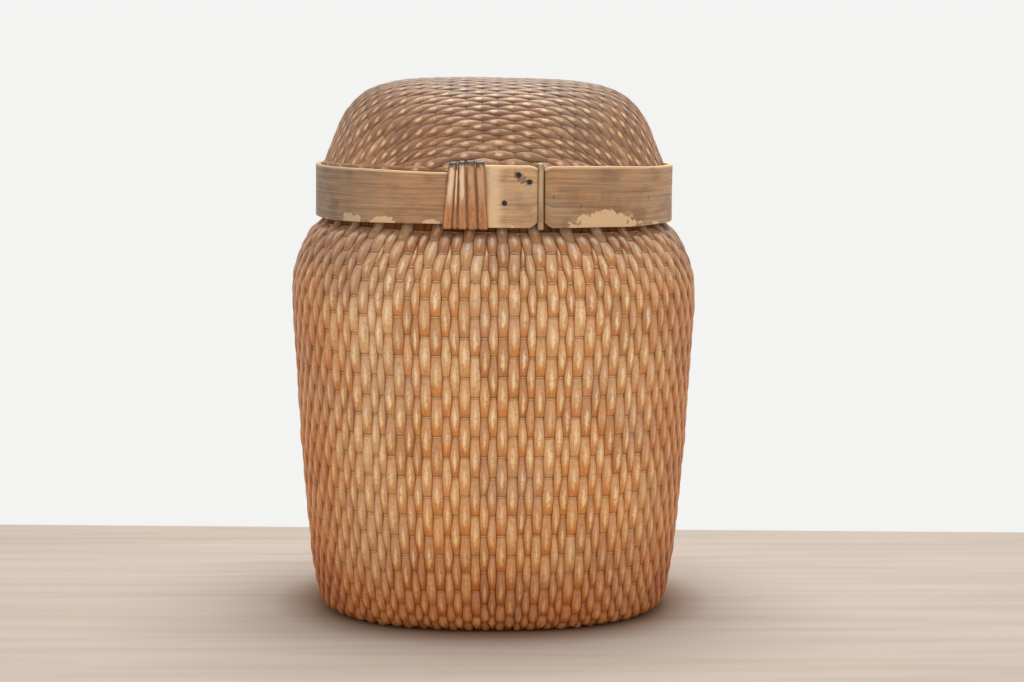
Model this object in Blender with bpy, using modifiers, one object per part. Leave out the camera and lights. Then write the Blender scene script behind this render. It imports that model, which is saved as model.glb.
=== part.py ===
"""A lidded willow storage basket: woven body with a hooped neck, and a domed lid that lifts off.

Metres, +Z up, the front of the basket towards -Y, the origin on the floor under the middle of the body.
Every piece is first made upright, in plan a rounded square, and then leaned: the upper part of
the basket tips forwards a little, so the rim and the lid are lower at the front than at the back.
"""

import math

import bmesh
import bpy
from mathutils import Matrix, Vector

# Driving dimensions
BODY_WIDTH = 0.357
BODY_DEPTH = 0.314
BULGE_HEIGHT = 0.280
PLAN_POWER = 2.4
SIDES = 48
WALL = 0.008
GAP = 0.0003

# How the upper part leans: its slope towards the front and towards the right, and where it sets in
LEAN = 0.138
LEAN_START = 0.100
LEAN_END = 0.310
SIDE_TILT = 0.003

# Foot and base mat
FOOT_INNER = 0.112
FOOT_OUTER = 0.140
FOOT_RADIUS = 0.016
FOOT_END_ANGLE = -20
MAT_HALF_WIDTH = 0.136
MAT_THICKNESS = 0.007

# Neck, and the hoops, cane and stitches that bind it
NECK_HALF_WIDTH = 0.1472
NECK_FOOT = 0.3525
NECK_TOP = 0.369
HOOP = 0.004
HOOP_LOW = 0.3535
HOOP_HIGH = 0.3705
RIM_CANE_RADIUS = 0.0028
CANE = 0.0012
STITCHES = 8
STITCH_WIDTH = 0.006

# Lid
BAND_MIDDLE = 0.372
BAND_HEIGHT = 0.050
BAND_TAPER = 0.0065
BAND_INNER = 0.0071
BAND = 0.004
DOME_OFFSET = 0.0049
DOME_WALL = 0.0065
DOME_LOW = 0.3791
DOME_TOP = 0.470
LID_HOOP = 0.0035
SPLICE_X = -0.0385
JOINT_X = 0.033
JOINT_WIDTH = 0.006
JOINT_CHAMFER = 0.0045
SLOT_HEIGHT = 0.3915

# Centre x and width of each cane strip in the front and the rear lashing
FRONT_LASHES = [(-0.0374, 0.0064), (-0.0326, 0.0024), (-0.0278, 0.0062), (-0.0206, 0.0070), (-0.0127, 0.0074)]
REAR_LASHES = [(-0.0105, 0.0060), (-0.0035, 0.0060), (0.0035, 0.0060), (0.0105, 0.0060)]
JOINT_CANE = 0.0040
SLOT_ROOM = 0.0006

# x and height of each tack in the band, and the sizes of one tack
TACKS = [(0.0045, 0.367), (0.0155, 0.3895), (0.0240, 0.384)]
TACK_HEAD_RADIUS = 0.0021
TACK_HEAD = 0.0008
TACK_SHANK_RADIUS = 0.0008
TACK_LENGTH = 0.0036

# How far a cutter reaches: a box through the wall or the dome, and past the band's faces or edges
THROUGH_WALL = 0.040
PAST_BAND = 0.010

# Outlines as (half width, height), bottom to top
WALL_OUTLINE = [
    (0.1590, 0.030), (0.1625, 0.0555), (0.1698, 0.132), (0.1745, 0.208), (BODY_WIDTH / 2, BULGE_HEIGHT),
    (0.1745, 0.3095), (0.1645, 0.332), (0.1545, 0.342), (0.1490, 0.3465), (NECK_HALF_WIDTH, NECK_FOOT),
]
DOME_OUTLINE = [
    (0.1521, DOME_LOW), (0.1521, 0.3922), (0.1497, 0.4000), (0.1438, 0.415), (0.1366, 0.4325),
    (0.1245, 0.449), (0.1080, 0.4603), (0.0815, 0.4672), (0.0440, 0.4697), (0.0, DOME_TOP),
]

# Colours, as linear RGB
WILLOW = (0.36, 0.17, 0.062)
BENTWOOD = (0.33, 0.19, 0.09)
CANE_BROWN = (0.34, 0.15, 0.05)
IRON = (0.03, 0.027, 0.025)


def clear_scene():
    """Removes the startup objects."""
    for thing in list(bpy.data.objects):
        bpy.data.objects.remove(thing)


def make_collection(name, hidden=False):
    """A new collection in the scene."""
    group = bpy.data.collections.new(name)
    bpy.context.scene.collection.children.link(group)
    group.hide_render = hidden
    return group


def make_material(name, colour, roughness, metallic=0.0):
    """A plain Principled material."""
    material = bpy.data.materials.new(name)
    material.use_nodes = True
    shader = material.node_tree.nodes["Principled BSDF"]
    shader.inputs["Base Color"].default_value = (*colour, 1.0)
    shader.inputs["Roughness"].default_value = roughness
    shader.inputs["Metallic"].default_value = metallic
    material.diffuse_color = (*colour, 1.0)
    return material


def signed_power(value, power):
    return math.copysign(abs(value) ** power, value)


def plan_point(half_width, half_depth, angle):
    """A point of the rounded-square plan, and its outward normal."""
    x = half_width * signed_power(math.cos(angle), 2 / PLAN_POWER)
    y = half_depth * signed_power(math.sin(angle), 2 / PLAN_POWER)
    slope_x = signed_power(x / half_width, PLAN_POWER - 1) / half_width
    slope_y = signed_power(y / half_depth, PLAN_POWER - 1) / half_depth
    return Vector((x, y)), Vector((slope_x, slope_y)).normalized()


def plan_ring(half_width, half_depth, count=SIDES, steps=40):
    """Evenly spaced plan points and normals, from the middle of the front towards +X and on round."""
    dense = []
    for i in range(count * steps + 1):
        dense.append(plan_point(half_width, half_depth, 2 * math.pi * i / (count * steps) - math.pi / 2))
    lengths = [0.0]
    for (here, _), (there, _) in zip(dense, dense[1:]):
        lengths.append(lengths[-1] + (there - here).length)
    ring = []
    at = 0
    for i in range(count):
        while lengths[at] < lengths[-1] * i / count - 1e-9:
            at += 1
        ring.append(dense[at])
    return ring


NECK_HALF_DEPTH = NECK_HALF_WIDTH - (BODY_WIDTH - BODY_DEPTH) / 2
NECK_RING = plan_ring(NECK_HALF_WIDTH, NECK_HALF_DEPTH)


def neck_ring(offset):
    """The neck's plan, moved outwards: every hoop shares it, so the gaps between hoops are even."""
    return [point + offset * normal for point, normal in NECK_RING]


def neck_frame(x, rear=False):
    """The point of the neck's plan at this x, on the front or the rear, and its outward normal."""
    angle = math.acos(signed_power(x / NECK_HALF_WIDTH, PLAN_POWER / 2))
    return plan_point(NECK_HALF_WIDTH, NECK_HALF_DEPTH, angle if rear else -angle)


def curve_through(points, steps):
    """Points along a smooth Catmull-Rom curve through the given points."""
    ends = [points[0], *points, points[-1]]
    found = []
    for p0, p1, p2, p3 in zip(ends, ends[1:], ends[2:], ends[3:]):
        for i in range(steps):
            t = i / steps
            found.append(tuple(
                0.5 * (2 * b + (c - a) * t + (2 * a - 5 * b + 4 * c - d) * t**2 + (3 * b - a - 3 * c + d) * t**3)
                for a, b, c, d in zip(p0, p1, p2, p3)
            ))
    return [*found, points[-1]]


def lean(point):
    """Tips the upper part forwards and a little to the right. Upright sides stay upright."""
    share = min(1.0, max(0.0, (point.z - LEAN_START) / (LEAN_END - LEAN_START)))
    share = share * share * (3 - 2 * share)
    return Vector((point.x, point.y, point.z + share * (LEAN * point.y - SIDE_TILT * point.x)))


def add_object(name, data, group, material=None):
    """A new object with this mesh or curve."""
    thing = bpy.data.objects.new(name, data)
    group.objects.link(thing)
    if material:
        data.materials.append(material)
    return thing


def loft(name, rings, group, material, closed_top=False):
    """An open surface through rings of (x, y, z) points, closed at the top to a point if asked."""
    mesh = bmesh.new()
    rows = [[mesh.verts.new(point) for point in ring] for ring in rings]
    count = len(rows[0])
    for low, high in zip(rows, rows[1:]):
        for i in range(count):
            j = (i + 1) % count
            mesh.faces.new((low[i], low[j], high[j], high[i]))
    if closed_top:
        top = mesh.verts.new(closed_top)
        for i in range(count):
            mesh.faces.new((rows[-1][i], rows[-1][(i + 1) % count], top))
    data = bpy.data.meshes.new(name)
    mesh.to_mesh(data)
    mesh.free()
    return add_object(name, data, group, material)


def thicken(thing, thickness):
    """Solidify, inwards from the modelled surface."""
    solidify = thing.modifiers.new("thickness", "SOLIDIFY")
    solidify.thickness = thickness
    solidify.offset = -1
    solidify.use_even_offset = True


def cut(thing, cutter, operation="DIFFERENCE"):
    boolean = thing.modifiers.new("cut", "BOOLEAN")
    boolean.operation = operation
    boolean.object = cutter


def welded_mesh(name, thing):
    """The mesh of an object with its modifiers applied, or of a curve with its caps closed."""
    bpy.context.view_layer.update()
    graph = bpy.context.evaluated_depsgraph_get()
    mesh = bmesh.new()
    mesh.from_mesh(bpy.data.meshes.new_from_object(thing.evaluated_get(graph)))
    bmesh.ops.remove_doubles(mesh, verts=mesh.verts, dist=1e-6)
    bmesh.ops.recalc_face_normals(mesh, faces=mesh.faces)
    data = bpy.data.meshes.new(name)
    mesh.to_mesh(data)
    mesh.free()
    return data


def lean_mesh(thing):
    """Puts a leaned, smooth-shaded mesh of its own in place of this object's modifiers or curve."""
    name, group, world = thing.name, thing.users_collection[0], thing.matrix_world.copy()
    data = welded_mesh(name, thing)
    data.materials.append(thing.data.materials[0])
    for vertex in data.vertices:
        vertex.co = lean(world @ vertex.co)
    data.shade_smooth()
    data.set_sharp_from_angle(angle=math.radians(35))
    bpy.data.objects.remove(thing)
    return add_object(name, data, group)


def box_cutter(name, centre, size, turn, group):
    """A box that cuts slots, turned about Z."""
    mesh = bmesh.new()
    bmesh.ops.create_cube(mesh, size=1.0)
    bmesh.ops.scale(mesh, vec=size, verts=mesh.verts)
    data = bpy.data.meshes.new(name)
    mesh.to_mesh(data)
    mesh.free()
    cutter = add_object(name, data, group)
    cutter.rotation_euler.z = turn
    cutter.location = centre
    cutter.hide_render = True
    cutter.display_type = "WIRE"
    return cutter


def facing(normal):
    """The turn about Z that takes -Y to this direction."""
    return math.atan2(normal.y, normal.x) + math.pi / 2


def wall_rings():
    """The body's outer surface, from the inner edge of the foot, round the bottom corner and up to the rim."""
    corner = []
    for i in range(5):
        angle = math.radians(-90 + (FOOT_END_ANGLE + 90) * i / 4)
        corner.append((FOOT_OUTER + FOOT_RADIUS * math.cos(angle), FOOT_RADIUS * (1 + math.sin(angle))))
    side = curve_through([corner[-1], *WALL_OUTLINE], 2)[1:]
    outline = [(FOOT_INNER, 0.0), *corner, *side, (NECK_HALF_WIDTH, NECK_TOP)]
    narrower = (BODY_WIDTH - BODY_DEPTH) / 2
    return [
        [(*point, height) for point, _ in plan_ring(half, half - narrower)]
        for half, height in outline
    ]


def make_body(parts, cutters, willow):
    """The woven wall with its turned-in foot, and the base mat that lies on the foot."""
    wall = loft("woven_wall", wall_rings(), parts, willow)
    thicken(wall, WALL)
    for i in range(STITCHES):
        point, normal = stitch_place(i)
        slot = box_cutter(
            f"stitch_slot_{i + 1}", (*point, HOOP_LOW - GAP - CANE / 2),
            (STITCH_WIDTH + 4 * GAP, THROUGH_WALL, CANE + 2 * GAP), facing(normal), cutters,
        )
        cut(wall, slot)
    lean_mesh(wall)

    low = WALL + GAP
    narrower = (BODY_WIDTH - BODY_DEPTH) / 2
    rings = [
        [(*point, height) for point, _ in plan_ring(MAT_HALF_WIDTH, MAT_HALF_WIDTH - narrower)]
        for height in (low, low + MAT_THICKNESS)
    ]
    mat = loft("base_mat", rings, parts, willow)
    fill = bmesh.new()
    fill.from_mesh(mat.data)
    bmesh.ops.holes_fill(fill, edges=fill.edges, sides=0)
    bmesh.ops.recalc_face_normals(fill, faces=fill.faces)
    fill.to_mesh(mat.data)
    fill.free()
    lean_mesh(mat)


def make_hoop(name, outer, thickness, low, high, parts, material, taper=0.0):
    """A bentwood hoop of rectangular section, its outer face offset from the neck's plan. It can lose
    some of its height on the way round from the front's middle, past the right side and the rear."""
    ring = neck_ring(outer)
    rings = [
        [(*point, low) for point in ring],
        [(*point, high - taper * i / SIDES) for i, point in enumerate(ring)],
    ]
    hoop = loft(name, rings, parts, material)
    thicken(hoop, thickness)
    return hoop


def make_cane_ring(name, offset, height, parts, material):
    """A round cane that follows the neck."""
    data = bpy.data.curves.new(name, "CURVE")
    data.dimensions = "3D"
    data.bevel_depth = RIM_CANE_RADIUS
    data.bevel_resolution = 2
    spline = data.splines.new("POLY")
    spline.points.add(SIDES - 1)
    for spot, point in zip(spline.points, neck_ring(offset)):
        spot.co = (*point, height, 1.0)
    spline.use_cyclic_u = True
    return lean_mesh(add_object(name, data, parts, material))


def make_strip(name, path, width, point, normal, parts, material):
    """A flat cane strip bent into a closed loop: path holds (outward, up) places of its middle line."""
    data = bpy.data.curves.new(name, "CURVE")
    data.dimensions = "2D"
    data.fill_mode = "BOTH"
    data.extrude = width / 2
    for side in (CANE / 2, -CANE / 2):
        spline = data.splines.new("POLY")
        spline.points.add(len(path) - 1)
        for i, spot in enumerate(spline.points):
            before, here, after = (Vector(path[(i + k) % len(path)]) for k in (-1, 0, 1))
            leaving = [Vector((d.y, -d.x)) for d in ((here - before).normalized(), (after - here).normalized())]
            mitre = (leaving[0] + leaving[1]) / (1 + leaving[0].dot(leaving[1]))
            spot.co = (*(here + side * mitre), 0.0, 1.0)
        spline.use_cyclic_u = True
    strip = add_object(name, data, parts, material)
    outward = Vector((*normal, 0.0))
    along = outward.cross(Vector((0, 0, 1)))
    turn = Matrix((outward, (0, 0, 1), along)).transposed().to_4x4()
    strip.matrix_world = Matrix.Translation((*point, 0.0)) @ turn
    return lean_mesh(strip)


def stitch_place(index):
    """The stitches are evenly spaced, with none at the middle of the front."""
    return NECK_RING[round(SIDES * (index + 0.5) / STITCHES)]


def make_neck(parts, wood, cane):
    """Two hoops with the wall's edge between them, a cane on the rim, and stitches round them all."""
    outer_face = GAP + HOOP
    inner_face = -WALL - 2 * GAP - HOOP
    lean_mesh(make_hoop("neck_outer_hoop", outer_face, HOOP, HOOP_LOW, HOOP_HIGH, parts, wood))
    lean_mesh(make_hoop("neck_inner_hoop", inner_face + HOOP, HOOP, HOOP_LOW, HOOP_HIGH, parts, wood))
    cane_height = NECK_TOP + GAP + RIM_CANE_RADIUS
    make_cane_ring("neck_rim_cane", -WALL / 2, cane_height, parts, cane)
    room = GAP + CANE / 2
    left, right = inner_face - room, outer_face + room
    low, high = HOOP_LOW - room, cane_height + RIM_CANE_RADIUS + room
    path = [(right, low), (right, high), (left, high), (left, low)]
    for i in range(STITCHES):
        make_strip(f"neck_stitch_{i + 1}", path, STITCH_WIDTH, *stitch_place(i), parts, cane)


def lash_path(outer):
    """The loop of one lid lashing: down outside, under the band, up inside it, in under the dome's edge,
    up behind the lid's hoop, out through the dome and over the band's top edge."""
    room = GAP + CANE / 2
    band_low = BAND_MIDDLE - BAND_HEIGHT / 2 - room
    band_high = BAND_MIDDLE + BAND_HEIGHT / 2 + room
    inside_band = BAND_INNER - room
    behind_hoop = DOME_OFFSET - DOME_WALL - 2 * GAP - LID_HOOP - room
    under_dome = DOME_LOW - room
    return [
        (outer, band_low), (outer, band_high), (inside_band, band_high), (inside_band, SLOT_HEIGHT),
        (behind_hoop, SLOT_HEIGHT), (behind_hoop, under_dome), (inside_band, under_dome), (inside_band, band_low),
    ]


def slot_span(lashes):
    """The x of both ends of the slot that takes these strips."""
    (first, first_width), (last, last_width) = lashes[0], lashes[-1]
    return first - first_width / 2 - SLOT_ROOM, last + last_width / 2 + SLOT_ROOM


def make_dome(parts, cutters, willow):
    """The woven dome, with slots near its edge where the lashings pass through."""
    base = neck_ring(DOME_OFFSET)
    outline = curve_through(DOME_OUTLINE, 2)[:-1]
    rings = []
    for half, height in outline:
        share = half / DOME_OUTLINE[0][0]
        rings.append([(*(share * point), height) for point in base])
    dome = loft("lid_dome", rings, parts, willow, closed_top=(0, 0, DOME_TOP))
    thicken(dome, DOME_WALL)
    slots = [(FRONT_LASHES, False), ([(JOINT_X, JOINT_CANE)], False), (REAR_LASHES, True)]
    for i, (lashes, rear) in enumerate(slots):
        left, right = slot_span(lashes)
        point, normal = neck_frame((left + right) / 2, rear)
        slot = box_cutter(
            f"lash_slot_{i + 1}", (*point, SLOT_HEIGHT),
            (right - left, THROUGH_WALL, CANE + 4 * GAP), facing(normal), cutters,
        )
        cut(dome, slot)
    lean_mesh(dome)


def joint_cutter(low, high, cutters):
    """Cuts the gap of the joint, with both strip ends chamfered at their lower corners."""
    half = JOINT_WIDTH / 2
    foot = half + JOINT_CHAMFER + PAST_BAND
    outline = [
        (-foot, low - PAST_BAND), (foot, low - PAST_BAND), (half, low + JOINT_CHAMFER),
        (half, high + PAST_BAND), (-half, high + PAST_BAND), (-half, low + JOINT_CHAMFER),
    ]
    data = bpy.data.curves.new("joint_outline", "CURVE")
    data.dimensions = "2D"
    data.fill_mode = "BOTH"
    data.extrude = 2 * PAST_BAND
    spline = data.splines.new("POLY")
    spline.points.add(len(outline) - 1)
    for spot, place in zip(spline.points, outline):
        spot.co = (*place, 0.0, 1.0)
    spline.use_cyclic_u = True
    flat = add_object("joint_outline", data, cutters)
    point, normal = neck_frame(JOINT_X)
    upright = Matrix.Rotation(facing(normal), 4, "Z") @ Matrix.Rotation(math.pi / 2, 4, "X")
    flat.matrix_world = Matrix.Translation((*point, 0.0)) @ upright
    cutter = add_object("joint_cutter", welded_mesh("joint_cutter", flat), cutters)
    cutter.matrix_world = flat.matrix_world.copy()
    cutter.hide_render = True
    cutter.display_type = "WIRE"
    bpy.data.objects.remove(flat)
    return cutter


def make_band(parts, cutters, wood):
    """The lid's outer band. A long strip runs from the joint round the right side, the rear and the left
    side to the front lashing, and loses a little height on the way. A short splice closes the front."""
    outer = BAND_INNER + BAND
    low, high = BAND_MIDDLE - BAND_HEIGHT / 2, BAND_MIDDLE + BAND_HEIGHT / 2
    strip = make_hoop("lid_band", outer, BAND, low, high, parts, wood, BAND_TAPER)
    splice = make_hoop("band_splice", outer, BAND, low, high, parts, wood)
    past_joint = JOINT_X + JOINT_WIDTH / 4
    front_y = -NECK_HALF_DEPTH
    for piece, left, operation in ((strip, SPLICE_X, "DIFFERENCE"), (splice, SPLICE_X + GAP, "INTERSECT")):
        sector = box_cutter(
            f"{piece.name}_sector", ((left + past_joint) / 2, front_y, BAND_MIDDLE),
            (past_joint - left, 2 * THROUGH_WALL, 2 * BAND_HEIGHT), 0.0, cutters,
        )
        cut(piece, sector, operation)
        cut(piece, joint_cutter(low, high, cutters))
    for i, (x, height) in enumerate(TACKS):
        hole = make_pin(f"tack_hole_{i + 1}", [(TACK_SHANK_RADIUS + GAP, 3 * PAST_BAND)], cutters)
        hole.matrix_world = pin_frame(*neck_frame(x), height, -PAST_BAND)
        hole.hide_render = True
        hole.display_type = "WIRE"
        cut(splice, hole)
    lean_mesh(strip)
    lean_mesh(splice)


def make_pin(name, steps, group, material=None):
    """A turned pin along +Z from its tip: steps holds (radius, length) of each part."""
    outline = [(0.0, 0.0)]
    height = 0.0
    for radius, length in steps:
        outline += [(radius, height), (radius, height + length)]
        height += length
    outline.append((0.0, height))
    mesh = bmesh.new()
    verts = [mesh.verts.new((radius, 0.0, up)) for radius, up in outline]
    edges = [mesh.edges.new(pair) for pair in zip(verts, verts[1:])]
    bmesh.ops.spin(
        mesh, geom=[*verts, *edges], cent=(0, 0, 0), axis=(0, 0, 1), angle=2 * math.pi, steps=12,
    )
    bmesh.ops.remove_doubles(mesh, verts=mesh.verts, dist=1e-6)
    bmesh.ops.recalc_face_normals(mesh, faces=mesh.faces)
    data = bpy.data.meshes.new(name)
    mesh.to_mesh(data)
    mesh.free()
    return add_object(name, data, group, material)


def pin_frame(point, normal, height, offset):
    """Places a pin so that it points outwards from the band, its tip this far from the neck's plan."""
    outward = Vector((*normal, 0.0))
    place = Vector((*point, height)) + offset * outward
    return Matrix.Translation(place) @ outward.to_track_quat("Z", "Y").to_matrix().to_4x4()


def make_tacks(parts, iron):
    """The small iron tacks beside the joint of the band."""
    face = BAND_INNER + BAND
    for i, (x, height) in enumerate(TACKS):
        point, normal = neck_frame(x)
        steps = [(TACK_SHANK_RADIUS, TACK_LENGTH + GAP), (TACK_HEAD_RADIUS, TACK_HEAD)]
        tack = make_pin(f"lid_tack_{i + 1}", steps, parts, iron)
        tack.matrix_world = pin_frame(point, normal, height, face - TACK_LENGTH)
        lean_mesh(tack)


def make_lid(parts, cutters, willow, wood, cane, iron):
    make_dome(parts, cutters, willow)
    make_band(parts, cutters, wood)
    hoop_face = DOME_OFFSET - DOME_WALL - 2 * GAP
    lean_mesh(make_hoop("lid_inner_hoop", hoop_face, LID_HOOP, DOME_LOW, SLOT_HEIGHT - CANE, parts, wood))
    outside = BAND_INNER + BAND + GAP + CANE / 2
    for i, (x, width) in enumerate(FRONT_LASHES):
        make_strip(f"front_lash_{i + 1}", lash_path(outside), width, *neck_frame(x), parts, cane)
    for i, (x, width) in enumerate(REAR_LASHES):
        make_strip(f"rear_lash_{i + 1}", lash_path(outside), width, *neck_frame(x, rear=True), parts, cane)
    recessed = BAND_INNER + GAP + CANE
    make_strip("joint_cane", lash_path(recessed), JOINT_CANE, *neck_frame(JOINT_X), parts, cane)
    make_tacks(parts, iron)


def main():
    clear_scene()
    parts = make_collection("lidded_willow_basket")
    cutters = make_collection("cutters", hidden=True)
    willow = make_material("willow", WILLOW, 0.5)
    wood = make_material("bentwood", BENTWOOD, 0.6)
    cane = make_material("cane", CANE_BROWN, 0.45)
    iron = make_material("iron", IRON, 0.7, 0.6)
    make_body(parts, cutters, willow)
    make_neck(parts, wood, cane)
    make_lid(parts, cutters, willow, wood, cane, iron)


main()
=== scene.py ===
"""The looks of the lidded willow basket: woven rods and cords, bentwood, cane, floor, light and camera."""

import math

import bpy
import numpy as np
from mathutils import Matrix, Vector


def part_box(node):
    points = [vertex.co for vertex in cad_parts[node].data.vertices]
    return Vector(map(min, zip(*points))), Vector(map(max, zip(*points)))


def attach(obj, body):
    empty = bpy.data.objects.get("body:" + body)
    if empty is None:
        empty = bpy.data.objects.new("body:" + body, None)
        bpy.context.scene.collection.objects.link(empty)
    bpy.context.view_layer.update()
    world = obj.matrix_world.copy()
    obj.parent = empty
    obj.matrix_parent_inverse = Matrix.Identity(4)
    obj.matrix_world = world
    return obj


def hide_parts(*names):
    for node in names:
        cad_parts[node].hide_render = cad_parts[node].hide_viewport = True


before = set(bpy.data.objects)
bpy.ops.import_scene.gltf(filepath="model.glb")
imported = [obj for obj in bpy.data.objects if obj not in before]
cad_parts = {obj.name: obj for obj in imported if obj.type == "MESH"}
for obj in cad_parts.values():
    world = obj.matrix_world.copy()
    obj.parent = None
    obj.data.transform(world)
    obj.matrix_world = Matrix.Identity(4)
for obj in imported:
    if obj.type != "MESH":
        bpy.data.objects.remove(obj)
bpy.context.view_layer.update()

# The CAD model's shape, in metres: plan, lean and outlines
PLAN_POWER = 2.4
LEAN, SIDE_TILT, LEAN_START, LEAN_END = 0.138, 0.003, 0.100, 0.310
FOOT_INNER, FOOT_OUTER, FOOT_RADIUS, FOOT_END_ANGLE = 0.112, 0.140, 0.016, -20
NECK_HALF_WIDTH, NECK_TOP, WALL_THICKNESS = 0.1472, 0.369, 0.008
HOOP, HOOP_LOW, HOOP_HIGH, RIM_CANE = 0.004, 0.3535, 0.3705, 0.0028
GAP, CANE, STITCHES, STITCH_WIDTH = 0.0003, 0.0012, 8, 0.006
WALL_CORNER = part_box("woven_wall")[1]
NARROWER = WALL_CORNER.x - WALL_CORNER.y
BAND_INNER, BAND = 0.0071, 0.004
BAND_LOW, BAND_HIGH, BAND_TAPER = 0.347, 0.397, 0.0065
SPLICE_X, JOINT_X, JOINT_WIDTH, JOINT_CHAMFER = -0.0385, 0.033, 0.006, 0.0045
WALL_OUTLINE = [
    (0.1590, 0.030), (0.1625, 0.0555), (0.1698, 0.132), (0.1745, 0.208), (0.1785, 0.280),
    (0.1745, 0.3095), (0.1645, 0.332), (0.1545, 0.342), (0.1490, 0.3465), (0.1472, 0.3525),
]
DOME_OUTLINE = [
    (0.1521, 0.3791), (0.1521, 0.3922), (0.1497, 0.4000), (0.1438, 0.415), (0.1366, 0.4325),
    (0.1245, 0.449), (0.1080, 0.4603), (0.0815, 0.4672), (0.0440, 0.4697), (0.0, 0.470),
]
DOME_OFFSET, DOME_WALL, LID_HOOP, SLOT_HEIGHT = 0.0049, 0.0065, 0.0035, 0.3915
LID_HOOP_INNER = DOME_OFFSET - DOME_WALL - 2 * GAP - LID_HOOP
MAT_HALF_WIDTH, MAT_LOW = 0.136, 0.0083

# Each front lashing strip: x and width at its top, the same at its foot, and its rise over the band's top
FRONT_STRIPS = [
    ((-0.0352, 0.0062), (-0.0395, 0.0073), 0.0008),
    ((-0.0317, 0.0018), (-0.0337, 0.0034), 0.0000),
    ((-0.0284, 0.0052), (-0.0277, 0.0072), 0.0016),
    ((-0.0219, 0.0065), (-0.0198, 0.0076), 0.0020),
    ((-0.0145, 0.0070), (-0.0118, 0.0078), 0.0016),
]
REAR_STRIPS, REAR_STRIP_WIDTH = (-0.0105, -0.0035, 0.0035, 0.0105), 0.006
JOINT_CANE, FRONT_BOW = 0.0018, 0.0006
PLANK_STEP, LASH_STEP, LASH_BEND = 0.003, 0.004, 0.0016
HOOP_WARP = 0.0002

# Pale chips along the band's lower edge: distance round from the front's middle, half length, height's share
BAND_CHIPS = [
    (0.086, 0.027, 0.26), (-0.121, 0.010, 0.17), (-0.090, 0.011, 0.12), (-0.052, 0.006, 0.08),
    (0.300, 0.018, 0.14), (0.480, 0.022, 0.22), (0.560, 0.008, 0.10), (-0.260, 0.014, 0.12),
]

# The weave
ROD_GROUPS = 35
ROD_SHARES = (1.14, 1.14, 0.86, 0.86)
ROD_PINCH = (0.03, 0.03, 0.12, 0.12)
WEAVE_TURN = 0.0034
FIRST_ROW, ROW_STEP = 0.004, 0.0160
FOOT_STEPS = (0.0080, 0.0080, 0.0080, 0.0078, 0.0078, 0.0071, 0.0098, 0.0123, 0.0150, 0.0150)
SHOULDER_STEPS = (0.0143, 0.0137, 0.0125, 0.0125, 0.0135, 0.0105)
EVEN_ROWS, ROW_WAVE = 12, 0.0005
CREST = 0.43
DROP_LEVEL = 24.8
ROW_PARTS = (0.0, 0.05, 0.14, 0.32, 0.52, 0.72, 0.87, 0.95, 0.985)
CLOSEST_LEVELS = 0.02
# The body rods: their uneven widths, how these drift along a rod, how much a float's bulge varies and where
# they start below the first row; then how the dropped ones taper: over how many levels, how far, how deep
ROD_UNEVEN, ROD_DRIFT, BODY_BULGE_SPREAD, FIRST_LEVEL = (0.95, 1.05), 0.06, 0.16, -0.45
DROP_LEVELS, DROP_SHARE, DROP_DEPTH = 1.6, 0.85, 0.0018
ROD_FULLNESS = 1.06
DOME_ROD = 0.0045
DOME_BORDER, DOME_BORDER_ROOM = (0.0062, 0.0130), 0.0057
SKIRT_ROWS = (0.3815, 0.3868, 0.3921)
DOME_ROW = 0.0130
DOME_PULL = 0.12
DOME_ROD_LIMITS, DOME_FULLNESS, DOME_BORDER_RISE = (0.0028, 0.0066), 1.18, 0.0007
DOME_DRIFT, DOME_PINCH, DOME_BULGE_SPREAD, SKIRT_HALF_WIDTH = 0.0009, 0.12, 0.25, 0.00279
MAT_ROD, MAT_PINCH, MAT_CORDS, PAST_CORD = 0.0074, 0.07, 8, 0.002

# Each kind of rod. Its outer face at the cords, how far it bulges out between them and the bulge's power,
# then its inner face between the cords, how far it sinks in at them and that power
BODY_FACES = (-0.0026, 0.0029, 0.62), (-0.0057, 0.0022, 0.7)
DOME_FACES = (-0.0018, 0.0010, 1.0), (-0.0044, 0.0015, 0.75)
SKIRT_FACES = (-0.0010, 0.0012, 1.0), (-0.0044, 0.0015, 0.75)
MAT_FACES = (-0.0018, 0.0019, 0.7), (-0.0050, 0.0016, 0.7)

# Each kind of cord: its half height, its thickness, how far out its middle is, and its swing in and out
BODY_CORD = 0.0008, 0.0012, -0.0039, 0.0022
TOP_CANE = 0.0015, 0.0014, -0.0041, 0.0027
DOME_CORD = 0.00075, 0.0010, -0.0037, 0.0017
MAT_CORD = 0.00085, 0.0010, -0.0034, 0.0019
CROSSING_STEPS, CROSSING_POWER = np.array([-0.5, -0.3, 0.0, 0.3]), 0.55
UP, DOWN, RIGHT, REARWARD = (0, 0, 1), (0, 0, -1), (1, 0, 0), (0, 1, 0)

# Steps of this size, less their whole parts, spread evenly from 0 to 1
GOLDEN = 0.618034

# Camera, light and stage
LENS, CAMERA_DISTANCE, CAMERA_HEIGHT = 45.7, 1.176, 0.279
# In degrees: the way round to the left, the pan, the pitch and the roll
CAMERA_ANGLES = 1.5, 0.82, 2.25, 0.34
GROUND_SIZE, TABLE_FRONT, TABLE_DEPTH, TABLE_SIDE, TABLE_SLANT = 400.0, -0.55, 0.335, 0.85, 0.05
TABLE_EDGE, TABLE_COLOUR = 0.003, (0.475, 0.412, 0.360)
# The half width and half depth of the painted shadow round the basket's foot
FOOT_SHADE = 0.205, 0.180
HORIZON_LIGHT, FRONT_LIGHT, ZENITH_LIGHT = (0.90, 0.897, 0.89), (1.00, 0.965, 0.92), (0.62, 0.62, 0.62)
FRONT_REACH, ZENITH_START_END = 0.9, (0.25, 0.9)
KEY_PLACE, KEY_AIM, KEY_SIZE, KEY_POWER = (0.06, 0.18, 2.0), (0, 0, 0.1), 1.2, 38

chance = np.random.default_rng(11)


# ---------------------------------------------------------------- shape

def signed_power(value, power):
    return np.sign(value) * np.abs(value) ** power


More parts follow.
